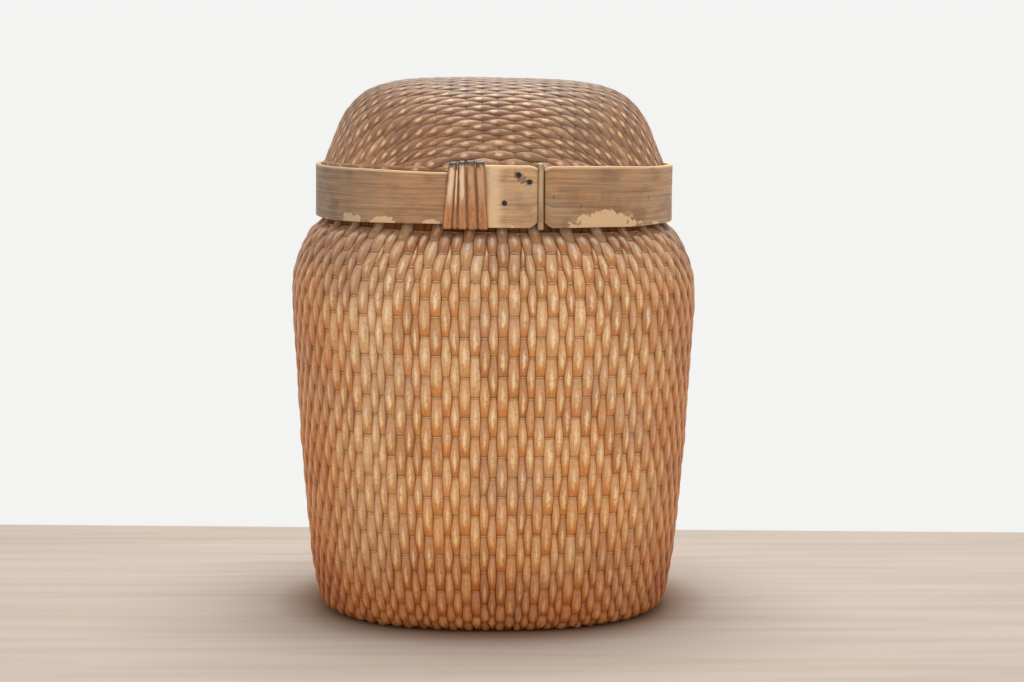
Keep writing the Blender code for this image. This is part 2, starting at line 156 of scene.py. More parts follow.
def smooth(t):
    return t * t * (3 - 2 * t)


def unit(vectors):
    return vectors / (np.linalg.norm(vectors, axis=-1)[..., None] + 1e-12)


def level_vectors(x, y):
    return np.stack([x, y, np.zeros_like(x)], -1)


def distances(points):
    """How far along the line through these points each one is."""
    return np.concatenate([[0], np.cumsum(np.linalg.norm(np.diff(points, axis=0), axis=1))])


def read_table(at, run, table):
    """The table's rows at these distances, run being the distance of each row."""
    return np.column_stack([np.interp(at, run, column) for column in table.T])


def evenly_spaced(points, count):
    run = distances(points)
    return read_table(np.linspace(0, run[-1], count), run, points)


def plan_point(half, angle):
    """x, y and the outward normal's x, y on the rounded-square plan of this half width."""
    deep = half - NARROWER
    x = half * signed_power(np.cos(angle), 2 / PLAN_POWER)
    y = deep * signed_power(np.sin(angle), 2 / PLAN_POWER)
    normal_x = signed_power(x / half, PLAN_POWER - 1) / half
    normal_y = signed_power(y / deep, PLAN_POWER - 1) / deep
    size = np.hypot(normal_x, normal_y)
    return x, y, normal_x / size, normal_y / size


# The half widths and the even steps of the way round that the plan's tables hold
HALVES = np.linspace(0.10, 0.19, 19)
TURNS = 1440


def plan_tables():
    """For each half width, the angle at even steps of the way round, and the way round's length."""
    angle = np.linspace(-0.5 * np.pi, 1.5 * np.pi, 8 * TURNS + 1)
    angles, lengths = [], []
    for half in HALVES:
        run = distances(np.column_stack(plan_point(half, angle)[:2]))
        angles.append(np.interp(np.linspace(0, 1, TURNS + 1), run / run[-1], angle))
        lengths.append(run[-1])
    return np.array(angles), np.array(lengths)


ANGLES, ROUND_LENGTHS = plan_tables()


def round_length(half):
    return np.interp(half, HALVES, ROUND_LENGTHS)


def read_round(table, row, share):
    """The table at this row, or between rows, and at this share of its even steps round."""
    row, share = np.broadcast_arrays(np.asarray(row, float), np.asarray(share, float))
    steps = table.shape[1] - 1
    column = np.mod(share, 1) * steps
    i = np.clip(np.floor(row), 0, len(table) - 2).astype(int)
    j = np.minimum(column.astype(int), steps - 1)
    part = column - j
    low = table[i, j] * (1 - part) + table[i, j + 1] * part
    high = table[i + 1, j] * (1 - part) + table[i + 1, j + 1] * part
    return low + (high - low) * (row - i)


def around(half, share):
    """Points and normals this share of the way round, from the front's middle towards +X."""
    row = (np.asarray(half, float) - HALVES[0]) / (HALVES[1] - HALVES[0])
    return plan_point(half, read_round(ANGLES, np.clip(row, 0, len(HALVES) - 1.001), share))


def lean(points):
    """Tips the upper part forwards, as the CAD model does."""
    share = smooth(np.clip((points[..., 2] - LEAN_START) / (LEAN_END - LEAN_START), 0, 1))
    leaned = np.array(points)
    leaned[..., 2] += share * (LEAN * points[..., 1] - SIDE_TILT * points[..., 0])
    return leaned


def curve_through(points, steps):
    """A smooth Catmull-Rom curve through the points."""
    points = np.array(points, float)
    ends = np.vstack([points[:1], points, points[-1:]])
    t = (np.arange(steps) / steps)[:, None]
    found = []
    for a, b, c, d in zip(ends, ends[1:], ends[2:], ends[3:]):
        square, cube = 2*a - 5*b + 4*c - d, 3*b - a - 3*c + d
        found.append(0.5 * (2 * b + (c - a) * t + square * t**2 + cube * t**3))
    return np.vstack([*found, points[-1:]])


class Outline:
    """A profile of (half width, height) that can be read at any distance along it."""

    def __init__(self, points):
        self.points = points
        self.run = distances(points)
        slope = np.gradient(points, self.run, axis=0)
        self.out = np.column_stack([slope[:, 1], -slope[:, 0]]) / np.hypot(*slope.T)[:, None]
        self.length = self.run[-1]

    def at(self, run):
        """Half width, height, and the normal's outward and upward parts."""
        half, height = (np.interp(run, self.run, column) for column in self.points.T)
        out, up = (np.interp(run, self.run, column) for column in self.out.T)
        size = np.hypot(out, up)
        return half, height, out / size, up / size


def wall_outline():
    angles = np.radians(np.linspace(-90, FOOT_END_ANGLE, 15))
    corner = np.column_stack([
        FOOT_OUTER + FOOT_RADIUS * np.cos(angles), FOOT_RADIUS * (1 + np.sin(angles)),
    ])
    flat = np.linspace((FOOT_INNER, 0.0), corner[0], 12)[:-1]
    side = curve_through([corner[-1], *WALL_OUTLINE, (NECK_HALF_WIDTH, NECK_TOP)], 12)[1:]
    points = evenly_spaced(np.vstack([flat, corner, side]), 400)
    # Slightly smoothed, so that the normal turns without steps
    for _ in range(12):
        points[1:-1] = 0.25 * points[:-2] + 0.5 * points[1:-1] + 0.25 * points[2:]
    return Outline(points)


WALL = wall_outline()


def on_wall(run, share):
    """Points, outward normals and sideways directions of the wall's outer surface, before the lean."""
    half, height, out, up = WALL.at(run)
    x, y, nx, ny = around(half, share)
    point = np.stack(np.broadcast_arrays(x, y, height), -1)
    normal = np.stack([nx * out, ny * out, np.broadcast_to(up, nx.shape)], -1)
    return point, normal, level_vectors(-ny, nx)


def smooth_noise(seed, at, size):
    """Repeatable one-dimensional noise from -1 to 1 with bumps of this size."""
    knots = np.random.default_rng(seed).uniform(-1, 1, 4096)
    place = np.mod(np.asarray(at) / size + 97.3, 4000)
    i = place.astype(int)
    t = smooth(place - i)
    return knots[i] * (1 - t) + knots[i + 1] * t


# ---------------------------------------------------------------- meshes

def section(count, power):
    """Sideways and outward places, each from -1 to 1, round a strand's section."""
    angle = 2 * np.pi * (np.arange(count) + 0.5) / count
    return signed_power(np.cos(angle), 2 / power), signed_power(np.sin(angle), 2 / power)


def strand(centre, normal, sideways, half_width, outer, inner, shape):
    """The rings of points of one strand: outer and inner are its faces' heights along the normal."""
    across, out = shape
    sizes = (np.broadcast_to(size, len(centre))[:, None] for size in (half_width, outer, inner))
    half_width, outer, inner = sizes
    normal, sideways = (np.broadcast_to(way, centre.shape)[:, None, :] for way in (normal, sideways))
    height = 0.5 * (outer + inner) + 0.5 * (outer - inner) * out
    return centre[:, None, :] + sideways * (half_width * across)[..., None] + normal * height[..., None]


BODY_SECTION, DOME_SECTION, SKIRT_SECTION = section(10, 3.0), section(10, 3.2), section(10, 2.6)
MAT_SECTION, CORD_SECTION = section(8, 2.3), section(6, 2.2)
FLAT_CANE_SECTION, ROUND_CANE_SECTION = section(12, 2.6), section(12, 2.0)


def cord_rings(point, normal, sideways, cord, over):
    """One cord's rings. over runs from -1 where it passes behind a rod to 1 where it passes in front."""
    half_height, thickness, level, swing = cord
    outer, inner = level + swing * over + 0.5 * thickness, level + swing * over - 0.5 * thickness
    return strand(point, normal, sideways, half_height, outer, inner, CORD_SECTION)


def squared(points, normal):
    """The normals made square to the line through these points, and the sideways directions."""
    along = unit(np.gradient(points, axis=0))
    normal = unit(normal - along * np.sum(normal * along, 1)[:, None])
    return normal, np.cross(along, normal)


class Bundle:
    """Strands gathered into one mesh, with what the materials read at each point: in "weave" how near the
    middle of a float it is (0 to 1), its place across the strand (-1 to 1) and the float's own number, and
    in "strand" the strand's random number, the place along the float (0 to 1) and the distance along."""

    def __init__(self):
        self.points, self.faces, self.facts, self.caps, self.count = [], [], [], [], 0

    def add(self, rings, shape, place, seed, strand_seed, run, closed=False):
        """Adds one strand. place, seed and run are one value, or one for each ring."""
        levels, sides = rings.shape[:2]
        index = self.count + np.arange(levels * sides).reshape(levels, sides)
        low = index if closed else index[:-1]
        high = np.roll(index, -1, 0) if closed else index[1:]
        quads = np.stack([low, np.roll(low, -1, 1), np.roll(high, -1, 1), high], -1)
        self.faces.append(quads.reshape(-1, 4))
        if not closed:
            self.caps += [index[0][::-1], index[-1]]
        points = lean(rings).reshape(-1, 3)
        points[:, 2] = np.maximum(points[:, 2], GAP)
        self.points.append(points)
        facts = (1 - np.abs(2 * place - 1), seed, strand_seed, place, run)
        middle, *others = (np.broadcast_to(fact, levels).repeat(sides) for fact in facts)
        self.facts.append(np.stack([middle, np.tile(shape[0], levels), *others], -1))
        self.count += levels * sides

    def build(self, name, material):
        quads = np.concatenate(self.faces)
        loops = np.concatenate([quads.ravel(), *self.caps])
        totals = np.concatenate([np.full(len(quads), 4), [len(cap) for cap in self.caps]]).astype(np.int32)
        starts = np.concatenate([[0], np.cumsum(totals)[:-1]])
        mesh = bpy.data.meshes.new(name)
        mesh.vertices.add(self.count)
        mesh.vertices.foreach_set("co", np.concatenate(self.points).astype(np.float32).ravel())
        mesh.loops.add(len(loops))
        mesh.loops.foreach_set("vertex_index", loops.astype(np.int32))
        mesh.polygons.add(len(totals))
        mesh.polygons.foreach_set("loop_start", starts.astype(np.int32))
        mesh.polygons.foreach_set("loop_total", totals)
        facts = np.concatenate(self.facts).astype(np.float32)
        for title, columns in (("weave", facts[:, :3]), ("strand", facts[:, 3:])):
            layer = mesh.attributes.new(title, "FLOAT_VECTOR", "POINT")
            layer.data.foreach_set("vector", columns.ravel())
        mesh.update(calc_edges=True)
        mesh.validate()
        mesh.shade_smooth()
        mesh.materials.append(material)
        thing = bpy.data.objects.new(name, mesh)
        bpy.context.scene.collection.objects.link(thing)
        return thing


def build_all(bundles, stem, names, material):
    return [bundle.build(f"{stem}_{name}", material) for bundle, name in zip(bundles, names)]


# ---------------------------------------------------------------- body weave

def row_places():
    """Each cord row's distance up the front of the leaning wall: tight at the foot and the shoulder."""
    steps = [*FOOT_STEPS, *[ROW_STEP] * EVEN_ROWS, *SHOULDER_STEPS]
    return FIRST_ROW + np.concatenate([[0], np.cumsum(steps)])


ROWS = row_places()
TOP_ROW = len(ROWS) - 1
RODS = 4 * ROD_GROUPS
COLUMNS = 96
BODY_ROUND = round_length(WALL_CORNER.x)


def row_table():
    """The rows' distances along the wall's outline at even steps of the way round. The lean makes the
    front shorter than the rear, and the rows share out each one's length in the same way."""
    run = np.linspace(0, WALL.length, 600)
    lengths = []
    for share in np.arange(COLUMNS) / COLUMNS:
        points, _, _ = on_wall(run, np.full(len(run), share))
        lengths.append(distances(lean(points)))
    parts = np.append(ROWS, lengths[0][-1] - 0.001) / lengths[0][-1]
    table = [np.interp(parts * length[-1], length, run) for length in lengths]
    return np.array([*table, table[0]]).T


ROW_TABLE = row_table()


def run_at(level, share):
    """How far along the wall's outline this level is, at this share of the way round."""
    return read_round(ROW_TABLE, level, share)


def pinned(rod, row):
    """Whether this row's cord passes outside this rod. The top row's cane passes over three of four."""
    return rod % 4 != 0 if row == TOP_ROW else (rod + row) % 2 == 1


def crest(place, peak=0.5):
    """How high a float stands at this place between its pins, its highest place being at peak."""
    return np.abs(np.sin(np.pi * place ** (math.log(0.5) / math.log(peak))))


def rod_faces(faces, place, strength=1.0, peak=0.5):
    """The heights of a rod's outer and inner faces along its floats, which bulge out by this strength."""
    (outer, bulge, outer_power), (inner, sink, inner_power) = faces
    outer = outer + bulge * crest(place, peak) ** outer_power * strength
    return outer, inner - sink * np.abs(np.cos(np.pi * place)) ** inner_power


def float_seed(number, rod, start=0):
    """A float's own number from 0 to 1, from its place in the weave."""
    return np.modf(GOLDEN * (number * 7 + rod * 13 + start))[0]


def whole_row_wave(row, share):
    turn = 2 * np.pi * share
    swing = np.sin(3 * turn + 1.7 * row) + 0.6 * np.sin(7 * turn + 2.9 * row + 1.0)
    # The close rows at the foot keep almost level
    size = np.where(row > 4, 1.0, 0.3)
    return size * (ROW_WAVE * swing + ROW_WAVE * smooth_noise(5, share * RODS + 200 * row, 2.3))


def row_wave(level, share):
    """How far this level wanders up and down on the way round: each row in its own way."""
    below = np.floor(level)
    part = level - below
    return (1 - part) * whole_row_wave(below, share) + part * whole_row_wave(below + 1, share)


def float_places(rod, levels):
    """For each level, the place from 0 to 1 between the pins below and above, and the floats' numbers."""
    pins = [row for row in range(TOP_ROW + 1) if pinned(rod, row)]
    pins = np.array([pins[0] - 2, *pins, pins[-1] + 2], float)
    number = np.clip(np.searchsorted(pins, levels, side="right") - 1, 0, len(pins) - 2)
    return (levels - pins[number]) / (pins[number + 1] - pins[number]), number


class BodyWeave:
    """Where the upright rods are at each level. Levels are whole at the cord rows."""

    def __init__(self):
        between = (np.arange(TOP_ROW)[:, None] + np.array(ROW_PARTS)).ravel()
        above = [TOP_ROW, TOP_ROW + 0.5, TOP_ROW + 1.0]
        self.levels = np.concatenate([[FIRST_LEVEL], between, above])
        found = [float_places(rod, self.levels) for rod in range(RODS)]
        self.places = np.array([places for places, _ in found])
        self.numbers = np.array([numbers for _, numbers in found])
        base = np.tile(ROD_SHARES, ROD_GROUPS) * chance.uniform(*ROD_UNEVEN, RODS)
        squeeze = np.tile(ROD_PINCH, ROD_GROUPS)[:, None]
        drift = np.stack([smooth_noise(100 + rod, self.levels, 7.0) for rod in range(RODS)])
        shares = base[:, None] * (1 - squeeze * np.cos(2 * np.pi * self.places)) * (1 + ROD_DRIFT * drift)
        # One rod of each four tapers away under its neighbours as the shoulder narrows
        self.dropped = np.clip((self.levels - DROP_LEVEL) / DROP_LEVELS, 0, 1)
        shares[2::4] *= 1 - DROP_SHARE * self.dropped
        self.shares = shares / shares.sum(0)
        self.centres = np.cumsum(self.shares, 0) - 0.5 * self.shares - 0.5 * self.shares[0] + WEAVE_TURN

    def row_shares(self, row, steps):
        """Each rod's middle at this row, and the places these parts of a rod's width to its sides."""
        level = int(np.argmin(np.abs(self.levels - row)))
        return (self.centres[:, level, None] + self.shares[:, level, None] * steps[None, :]).ravel()


def make_body_rods(weave, material):
    """The upright rods, in four pieces: each rod bulges outwards between the cords that cross it."""
    bundles = [Bundle() for _ in range(4)]
    for rod in range(RODS):
        share, place, number = weave.centres[rod], weave.places[rod], weave.numbers[rod]
        run = run_at(weave.levels, share) + row_wave(weave.levels, share)
        run = np.clip(run, 0, WALL.length - 0.001)
        point, normal, sideways = on_wall(run, share)
        half_width = 0.5 * weave.shares[rod] * round_length(WALL.at(run)[0]) * ROD_FULLNESS
        strength = 1 + BODY_BULGE_SPREAD * smooth_noise(300 + rod, number, 1.0)
        outer, inner = rod_faces(BODY_FACES, place, strength, CREST)
        outer = outer - DROP_DEPTH * weave.dropped * (rod % 4 == 2)
        rings = strand(point, normal, -sideways, half_width, outer, inner, BODY_SECTION)
        quarter = int(((rod + 0.5) / RODS + 0.125) % 1 * 4)
        bundles[quarter].add(rings, BODY_SECTION, place, float_seed(number, rod), chance.uniform(), run)
    return build_all(bundles, "body_rods", ("front", "right", "rear", "left"), material)


def ring_strand(bundle, row, share, cord, over):
    """One closed weaver round the body, through these places."""
    run = run_at(row, share) + row_wave(row, share)
    point, normal, _ = on_wall(run, share)
    upward = unit(np.cross(normal, np.roll(point, -1, 0) - np.roll(point, 1, 0)))
    rings = cord_rings(point, normal, upward, cord, over)
    run = share * BODY_ROUND
    bundle.add(rings, CORD_SECTION, 0.5 + 0.5 * over, 0.5, chance.uniform(), run, closed=True)


def make_body_cords(weave, material, cane):
    """The cords: each passes outside every other rod and inside the rods between."""
    steps = np.array([-0.5, -0.34, -0.14, 0.14, 0.34])
    rod = np.repeat(np.arange(RODS), len(steps))
    swing = np.tile(np.cos(np.pi * steps) ** 0.5, RODS)
    bundles = [Bundle(), Bundle()]
    for row in range(TOP_ROW):
        over = np.where((rod + row) % 2 == 1, 1.0, -1.0) * swing
        ring_strand(bundles[int(row > TOP_ROW // 2)], row, weave.row_shares(row, steps), BODY_CORD, over)
    # The top row is a wider strip of cane that passes outside three rods of each four
    top = Bundle()
    over = np.where(rod % 4 == 0, -1.0 * swing, 0.55)
    ring_strand(top, TOP_ROW, weave.row_shares(TOP_ROW, steps), TOP_CANE, over)
    pieces = build_all(bundles, "body_cords", ("lower", "upper"), material)
    return [*pieces, top.build("body_top_weaver", cane)]


# ---------------------------------------------------------------- lid weave

def dome_outline():
    return Outline(evenly_spaced(curve_through(DOME_OUTLINE, 12), 300))


DOME = dome_outline()
DOME_HALF = DOME_OUTLINE[0][0]
DOME_DEEP = DOME_HALF - NARROWER
DOME_LOW = DOME_OUTLINE[0][1]


def dome_share(x, y):
    """0 at the dome's middle and 1 on its edge, to the plan's power."""
    return (np.abs(x) / DOME_HALF) ** PLAN_POWER + (np.abs(y) / DOME_DEEP) ** PLAN_POWER


def dome_at(x, y):
    """Point and outward normal of the dome's outer surface over this place in plan."""
    half = np.minimum(dome_share(x, y) ** (1 / PLAN_POWER), 1.0) * DOME_HALF
    narrowing = -DOME.points[:, 0] + 1e-7 * np.arange(len(DOME.points))
    _, height, out, up = DOME.at(np.interp(-half, narrowing, DOME.run))
    slope_x = signed_power(x / DOME_HALF, PLAN_POWER - 1) / DOME_HALF
    slope_y = signed_power(y / DOME_DEEP, PLAN_POWER - 1) / DOME_DEEP
    size = np.hypot(slope_x, slope_y) + 1e-9
    normal = np.stack([out * slope_x / size, out * slope_y / size, up], -1)
    return np.stack([x, y, height], -1), unit(normal)


def dome_middles():
    """Where each dome rod crosses the middle of the lid: evenly spaced over it from front to rear."""
    y = np.linspace(-DOME_DEEP, DOME_DEEP, 4001)
    point, _ = dome_at(np.zeros_like(y), y)
    # The first step up and the last one down are the upright skirt, which has its own rods
    run = np.pad(distances(point[1:-1]), 1, "edge")
    first = np.array(DOME_BORDER)
    room = first[-1] + DOME_BORDER_ROOM
    inner = run[-1] - 2 * room
    between = room + np.linspace(0, inner, round(inner / DOME_ROD) + 1)
    return np.interp(np.concatenate([first, between, run[-1] - first[::-1]]), run, y)


def dome_path(middle):
    """The right half of one rod's way over the dome, at each distance of DOME_REACH from its middle. It
    follows the dome sideways and drops down inside the band. Past its end the points repeat."""
    x = np.linspace(0, DOME_HALF, 1200)
    y = middle * (1 - DOME_PULL * (x / DOME_HALF) ** 2)
    inside = dome_share(x, y) <= 1
    point, normal = dome_at(x[inside], y[inside])
    drop = np.linspace(point[-1], (*point[-1, :2], DOME_LOW + 0.001), 12)[1:]
    side = unit(normal[-1] * (1, 1, 0))
    point, normal = np.vstack([point, drop]), np.vstack([normal, np.tile(side, (len(drop), 1))])
    run = distances(point)
    return read_table(DOME_REACH, run, point), unit(read_table(DOME_REACH, run, normal)), run[-1]


DOME_REACH = np.arange(0, 0.24, 0.001)
DOME_MIDDLES = dome_middles()


class DomeWeave:
    """The ways of all dome rods, read at any distance from the middle."""

    def __init__(self):
        points, normals, ends = zip(*(dome_path(middle) for middle in DOME_MIDDLES))
        self.points, self.normals, self.ends = np.array(points), np.array(normals), np.array(ends)

    def at(self, rod, reach):
        """Points and normals along one rod, negative distances on the left."""
        flip = np.column_stack([np.where(reach < 0, -1.0, 1.0), np.ones((len(reach), 2))])
        tables = self.points[rod], self.normals[rod]
        return tuple(read_table(np.abs(reach), DOME_REACH, table) * flip for table in tables)

    def between(self, rods, reach):
        """Points and normals at one distance from the middle, at these rods, fractions between them."""
        index = np.arange(len(self.ends))
        flip = -1 if reach < 0 else 1, 1, 1
        found = []
        for table in (self.points, self.normals):
            at_reach = np.vstack([read_table([abs(reach)], DOME_REACH, rod) for rod in table])
            found.append(read_table(rods, index, at_reach * flip))
        return found[0], unit(found[1])


def pinned_place(levels, odd):
    """The place between pins where the pins are at every second whole level, and the float's number."""
    place = (levels - odd) / 2
    return place - np.floor(place), np.floor(place)


def rod_levels(last):
    """A rod's levels from its one end to its other, whole at the cords and 0 in the middle."""
    levels = np.arange(-math.ceil(last), math.ceil(last) + 1)
    levels = (levels[:, None] + np.array(ROW_PARTS)).ravel()
    inside = np.abs(levels) < last - CLOSEST_LEVELS
    return np.concatenate([[-last], levels[inside], [last]])


def make_dome_rods(weave, material):
    """The dome's rods, side to side over the lid, in two pieces, and the rods of its skirt."""
    bundles = [Bundle(), Bundle()]
    count = len(DOME_MIDDLES)
    for rod, end in enumerate(weave.ends):
        levels = rod_levels(end / DOME_ROW)
        # Three neighbours wander together
        shift = DOME_DRIFT * smooth_noise(700 + rod // 3, levels, 3.0)
        reach = np.clip(levels * DOME_ROW + shift, -end, end)
        point, normal = weave.at(rod, reach)
        normal, sideways = squared(point, normal)
        gap = np.zeros(len(levels))
        for other in (rod - 1, rod + 1):
            # A rod at the front or rear edge has only one neighbour
            other = other if 0 <= other < count else 2 * rod - other
            beside, _ = weave.at(other, np.clip(reach, -weave.ends[other], weave.ends[other]))
            gap += 0.5 * np.abs(np.sum((beside - point) * sideways, 1))
        place, number = pinned_place(levels, rod % 2)
        spread = 1 - DOME_PINCH * np.cos(2 * np.pi * place)
        half_width = 0.5 * np.clip(gap, *DOME_ROD_LIMITS) * spread * DOME_FULLNESS
        strength = 1 + DOME_BULGE_SPREAD * smooth_noise(900 + rod, number, 1.0)
        outer, inner = rod_faces(DOME_FACES, place, strength)
        outer = outer + DOME_BORDER_RISE * (min(rod, count - 1 - rod) < len(DOME_BORDER))
        rings = strand(point, normal, sideways, half_width, outer, inner, DOME_SECTION)
        half = bundles[int(rod > count // 2)]
        half.add(rings, DOME_SECTION, place, float_seed(number, rod, 400), chance.uniform(), reach)
    return [*build_all(bundles, "dome_rods", ("front", "rear"), material), make_skirt(material)]


def make_skirt(material):
    """The rods of the dome's upright skirt, level rings that the band mostly hides."""
    skirt = Bundle()
    count = 2 * round(round_length(DOME_HALF) / DOME_ROW / 2)
    levels = (np.arange(count)[:, None] + np.array(ROW_PARTS)).ravel()
    x, y, nx, ny = around(DOME_HALF, levels / count)
    for rod, height in enumerate(SKIRT_ROWS):
        place, number = pinned_place(levels, rod % 2)
        centre = np.column_stack(np.broadcast_arrays(x, y, height))
        outer, inner = rod_faces(SKIRT_FACES, place)
        rings = strand(centre, level_vectors(nx, ny), UP, SKIRT_HALF_WIDTH, outer, inner, SKIRT_SECTION)
        seed = float_seed(np.abs(number), rod)
        skirt.add(rings, SKIRT_SECTION, place, seed, chance.uniform(), levels * DOME_ROW, closed=True)
    return skirt.build("dome_skirt_rods", material)


def make_dome_cords(weave, material):
    """The dome's cords, front to rear over and under its rods."""
    bundle = Bundle()
    furthest = int(weave.ends.max() / DOME_ROW)
    for row in range(-furthest, furthest + 1):
        rods = np.nonzero(weave.ends > abs(row) * DOME_ROW + PAST_CORD)[0]
        if len(rods) < 3:
            continue
        place = np.append(rods[:, None] + CROSSING_STEPS, rods[-1] + 0.5)
        place = np.unique(np.clip(place, rods[0], rods[-1]))
        point, normal = weave.between(place, row * DOME_ROW)
        normal, sideways = squared(point, normal)
        over = signed_power(np.cos(np.pi * (place - row)), CROSSING_POWER)
        rings = cord_rings(point, normal, sideways, DOME_CORD, over)
        bundle.add(rings, CORD_SECTION, 0.25 + 0.25 * over, 0.5, chance.uniform(), place * DOME_ROD)
    return [bundle.build("dome_cords", material)]


# ---------------------------------------------------------------- base mat

def make_base_mat(rod_material, cord_material):
    """The flat weave that closes the base, its rods side to side and its cords front to rear."""
    deep = MAT_HALF_WIDTH - NARROWER
    count = round((2 * deep - MAT_ROD) / MAT_ROD)
    rods, cords = Bundle(), Bundle()
    middles = (np.arange(count) - 0.5 * (count - 1)) * MAT_ROD
    ends = MAT_HALF_WIDTH * (1 - (np.abs(middles) / deep) ** PLAN_POWER) ** (1 / PLAN_POWER)
    for rod, (y, end) in enumerate(zip(middles, ends)):
        levels = rod_levels(end / ROW_STEP)
        place, number = pinned_place(levels, rod % 2)
        point = np.column_stack(np.broadcast_arrays(levels * ROW_STEP, y, MAT_LOW))
        outer, inner = rod_faces(MAT_FACES, place)
        half_width = 0.5 * MAT_ROD * (1 - MAT_PINCH * np.cos(2 * np.pi * place))
        rings = strand(point, DOWN, REARWARD, half_width, outer, inner, MAT_SECTION)
        seed = float_seed(number, rod, 900)
        rods.add(rings, MAT_SECTION, place, seed, chance.uniform(), levels * ROW_STEP)
    for row in range(-MAT_CORDS, MAT_CORDS + 1):
        crossed = np.nonzero(ends > abs(row) * ROW_STEP + PAST_CORD)[0]
        place = (crossed[:, None] + CROSSING_STEPS).ravel()
        y = np.interp(place, np.arange(count), middles)
        point = np.column_stack(np.broadcast_arrays(row * ROW_STEP, y, MAT_LOW))
        over = signed_power(np.cos(np.pi * (place - row)), CROSSING_POWER)
        rings = cord_rings(point, DOWN, RIGHT, MAT_CORD, over)
        cords.add(rings, CORD_SECTION, 0.25, 0.5, chance.uniform(), y)
    return rods.build("base_rods", rod_material), cords.build("base_cords", cord_material)


# ---------------------------------------------------------------- bentwood and cane

NECK_ROUND = round_length(NECK_HALF_WIDTH)


def neck_share(x):
    """How far round the neck's plan this x is, on the front."""
    shares = np.linspace(-0.2, 0.2, 2001)
    return np.interp(x, around(NECK_HALF_WIDTH, shares)[0], shares)


def wander(seed, share, size, amount):
    """A small unevenness along an edge that goes round the neck."""
    return amount * smooth_noise(seed, share * NECK_ROUND, size)


def rounded_corner(start, radius, steps):
    """A quarter turn inside a section's corner, as shifts from it. start is its first angle in degrees."""
    angles = np.radians(start + np.linspace(0, 90, steps))
    middle = math.radians(start + 45)
    away = radius * np.sqrt(2) * np.array([math.cos(middle), math.sin(middle)])
    return radius * np.column_stack([np.cos(angles), np.sin(angles)]) - away


def plank_section(round_by):
    """The section of a thin plank: its places, each a face (1 outer, 0 inner), a height from 0 to 1 and a
    shift in metres."""
    rise = [0.1, 0.3, 0.5, 0.7, 0.9]
    # Each corner's face and height, the first angle of its turn, and the places on the side before it
    corners = [(1, 1, 0, rise), (0, 1, 90, []), (0, 0, 180, rise[::-1]), (1, 0, 270, [])]
    rows = []
    for face, height, start, side in corners:
        rows += [(face, up, 0.0, 0.0) for up in side]
        rows += [(face, height, *shift) for shift in rounded_corner(start, round_by, 4)]
    rows = np.array(rows, float)
    return rows[:, 0], rows[:, 1], rows[:, 2:]


def make_plank_ring(name, start, end, edges, material, inner, thickness, warp=0.0, round_by=0.0007):
    """A bent plank round the neck's plan from one share of the way round to another. edges gives its
    lower and upper edges at each share, and warp lets its faces wander."""
    closed = end - start >= 1
    steps = round((end - start) * NECK_ROUND / PLANK_STEP)
    shares = np.linspace(start, end, steps + 1)[:steps + (not closed)]
    low, high = edges(shares)
    x, y, nx, ny = around(NECK_HALF_WIDTH, shares)
    face, height, shift = plank_section(round_by)
    heights = low[:, None] + (high - low)[:, None] * height + shift[:, 1]
    uneven = warp * smooth_noise(41, shares[:, None] * 20 + height, 1.0)
    offsets = inner + thickness * face + shift[:, 0] + uneven
    points = np.stack([x[:, None] + nx[:, None] * offsets, y[:, None] + ny[:, None] * offsets, heights], -1)
    bundle = Bundle()
    bundle.add(points, (height, face), 0.0, face.mean(), 0.0, shares * NECK_ROUND, closed)
    return bundle.build(name, material)


def level_edges(low, high):
    return lambda share: (np.full(len(share), low), np.full(len(share), high))


def make_band(strip_material, splice_material):
    """The band's long strip and the splice that bridges its ends at the front."""
    joint, butt = neck_share(JOINT_X), neck_share(SPLICE_X)
    half_gap = 0.5 * JOINT_WIDTH / NECK_ROUND
    left, right = joint - half_gap, joint + half_gap

    def chamfer(share, end):
        return np.clip(JOINT_CHAMFER - np.abs(share - end) * NECK_ROUND, 0, None)

    def strip_edges(share):
        narrowing = 0.0024 * np.clip((share - 0.80) / 0.16, 0, 1)
        cut = chamfer(share, right)
        low = BAND_LOW + narrowing + cut + wander(21, share, 0.03, 0.0004)
        return low, BAND_HIGH - BAND_TAPER * share - 0.5 * cut + wander(22, share, 0.05, 0.0004)

    def splice_edges(share):
        cut = chamfer(share, left)
        low = BAND_LOW + cut + wander(23, share, 0.02, 0.0002)
        return low, BAND_HIGH - 0.4 * cut + wander(24, share, 0.03, 0.0002)

    strip = make_plank_ring(
        "band_strip", right, 1 + butt, strip_edges, strip_material, BAND_INNER, BAND, warp=0.0004,
    )
    start = butt + GAP / NECK_ROUND
    splice = make_plank_ring(
        "band_front_splice", start, left, splice_edges, splice_material, BAND_INNER, BAND,
    )
    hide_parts("lid_band")
    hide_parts("band_splice")
    return strip, splice


def loop_through(corners):
    """A closed way with rounded corners through these (offset, height) places, with places close together
    along it."""
    corners = np.array(corners, float)
    t = np.linspace(0, 1, 5)[:, None]
    arcs = []
    for before, corner, after in zip(np.roll(corners, 1, 0), corners, np.roll(corners, -1, 0)):
        cut = min(LASH_BEND, 0.45 * np.hypot(*(before - corner)), 0.45 * np.hypot(*(after - corner)))
        first = corner + unit(before - corner) * cut
        last = corner + unit(after - corner) * cut
        arcs.append((1 - t) ** 2 * first + 2 * t * (1 - t) * corner + t ** 2 * last)
    places = []
    for arc, following in zip(arcs, arcs[1:] + arcs[:1]):
        way = following[0] - arc[-1]
        parts = max(1, round(np.hypot(*way) / LASH_STEP))
        places += [*arc, *(arc[-1] + way * k / parts for k in range(1, parts))]
    return np.array(places)


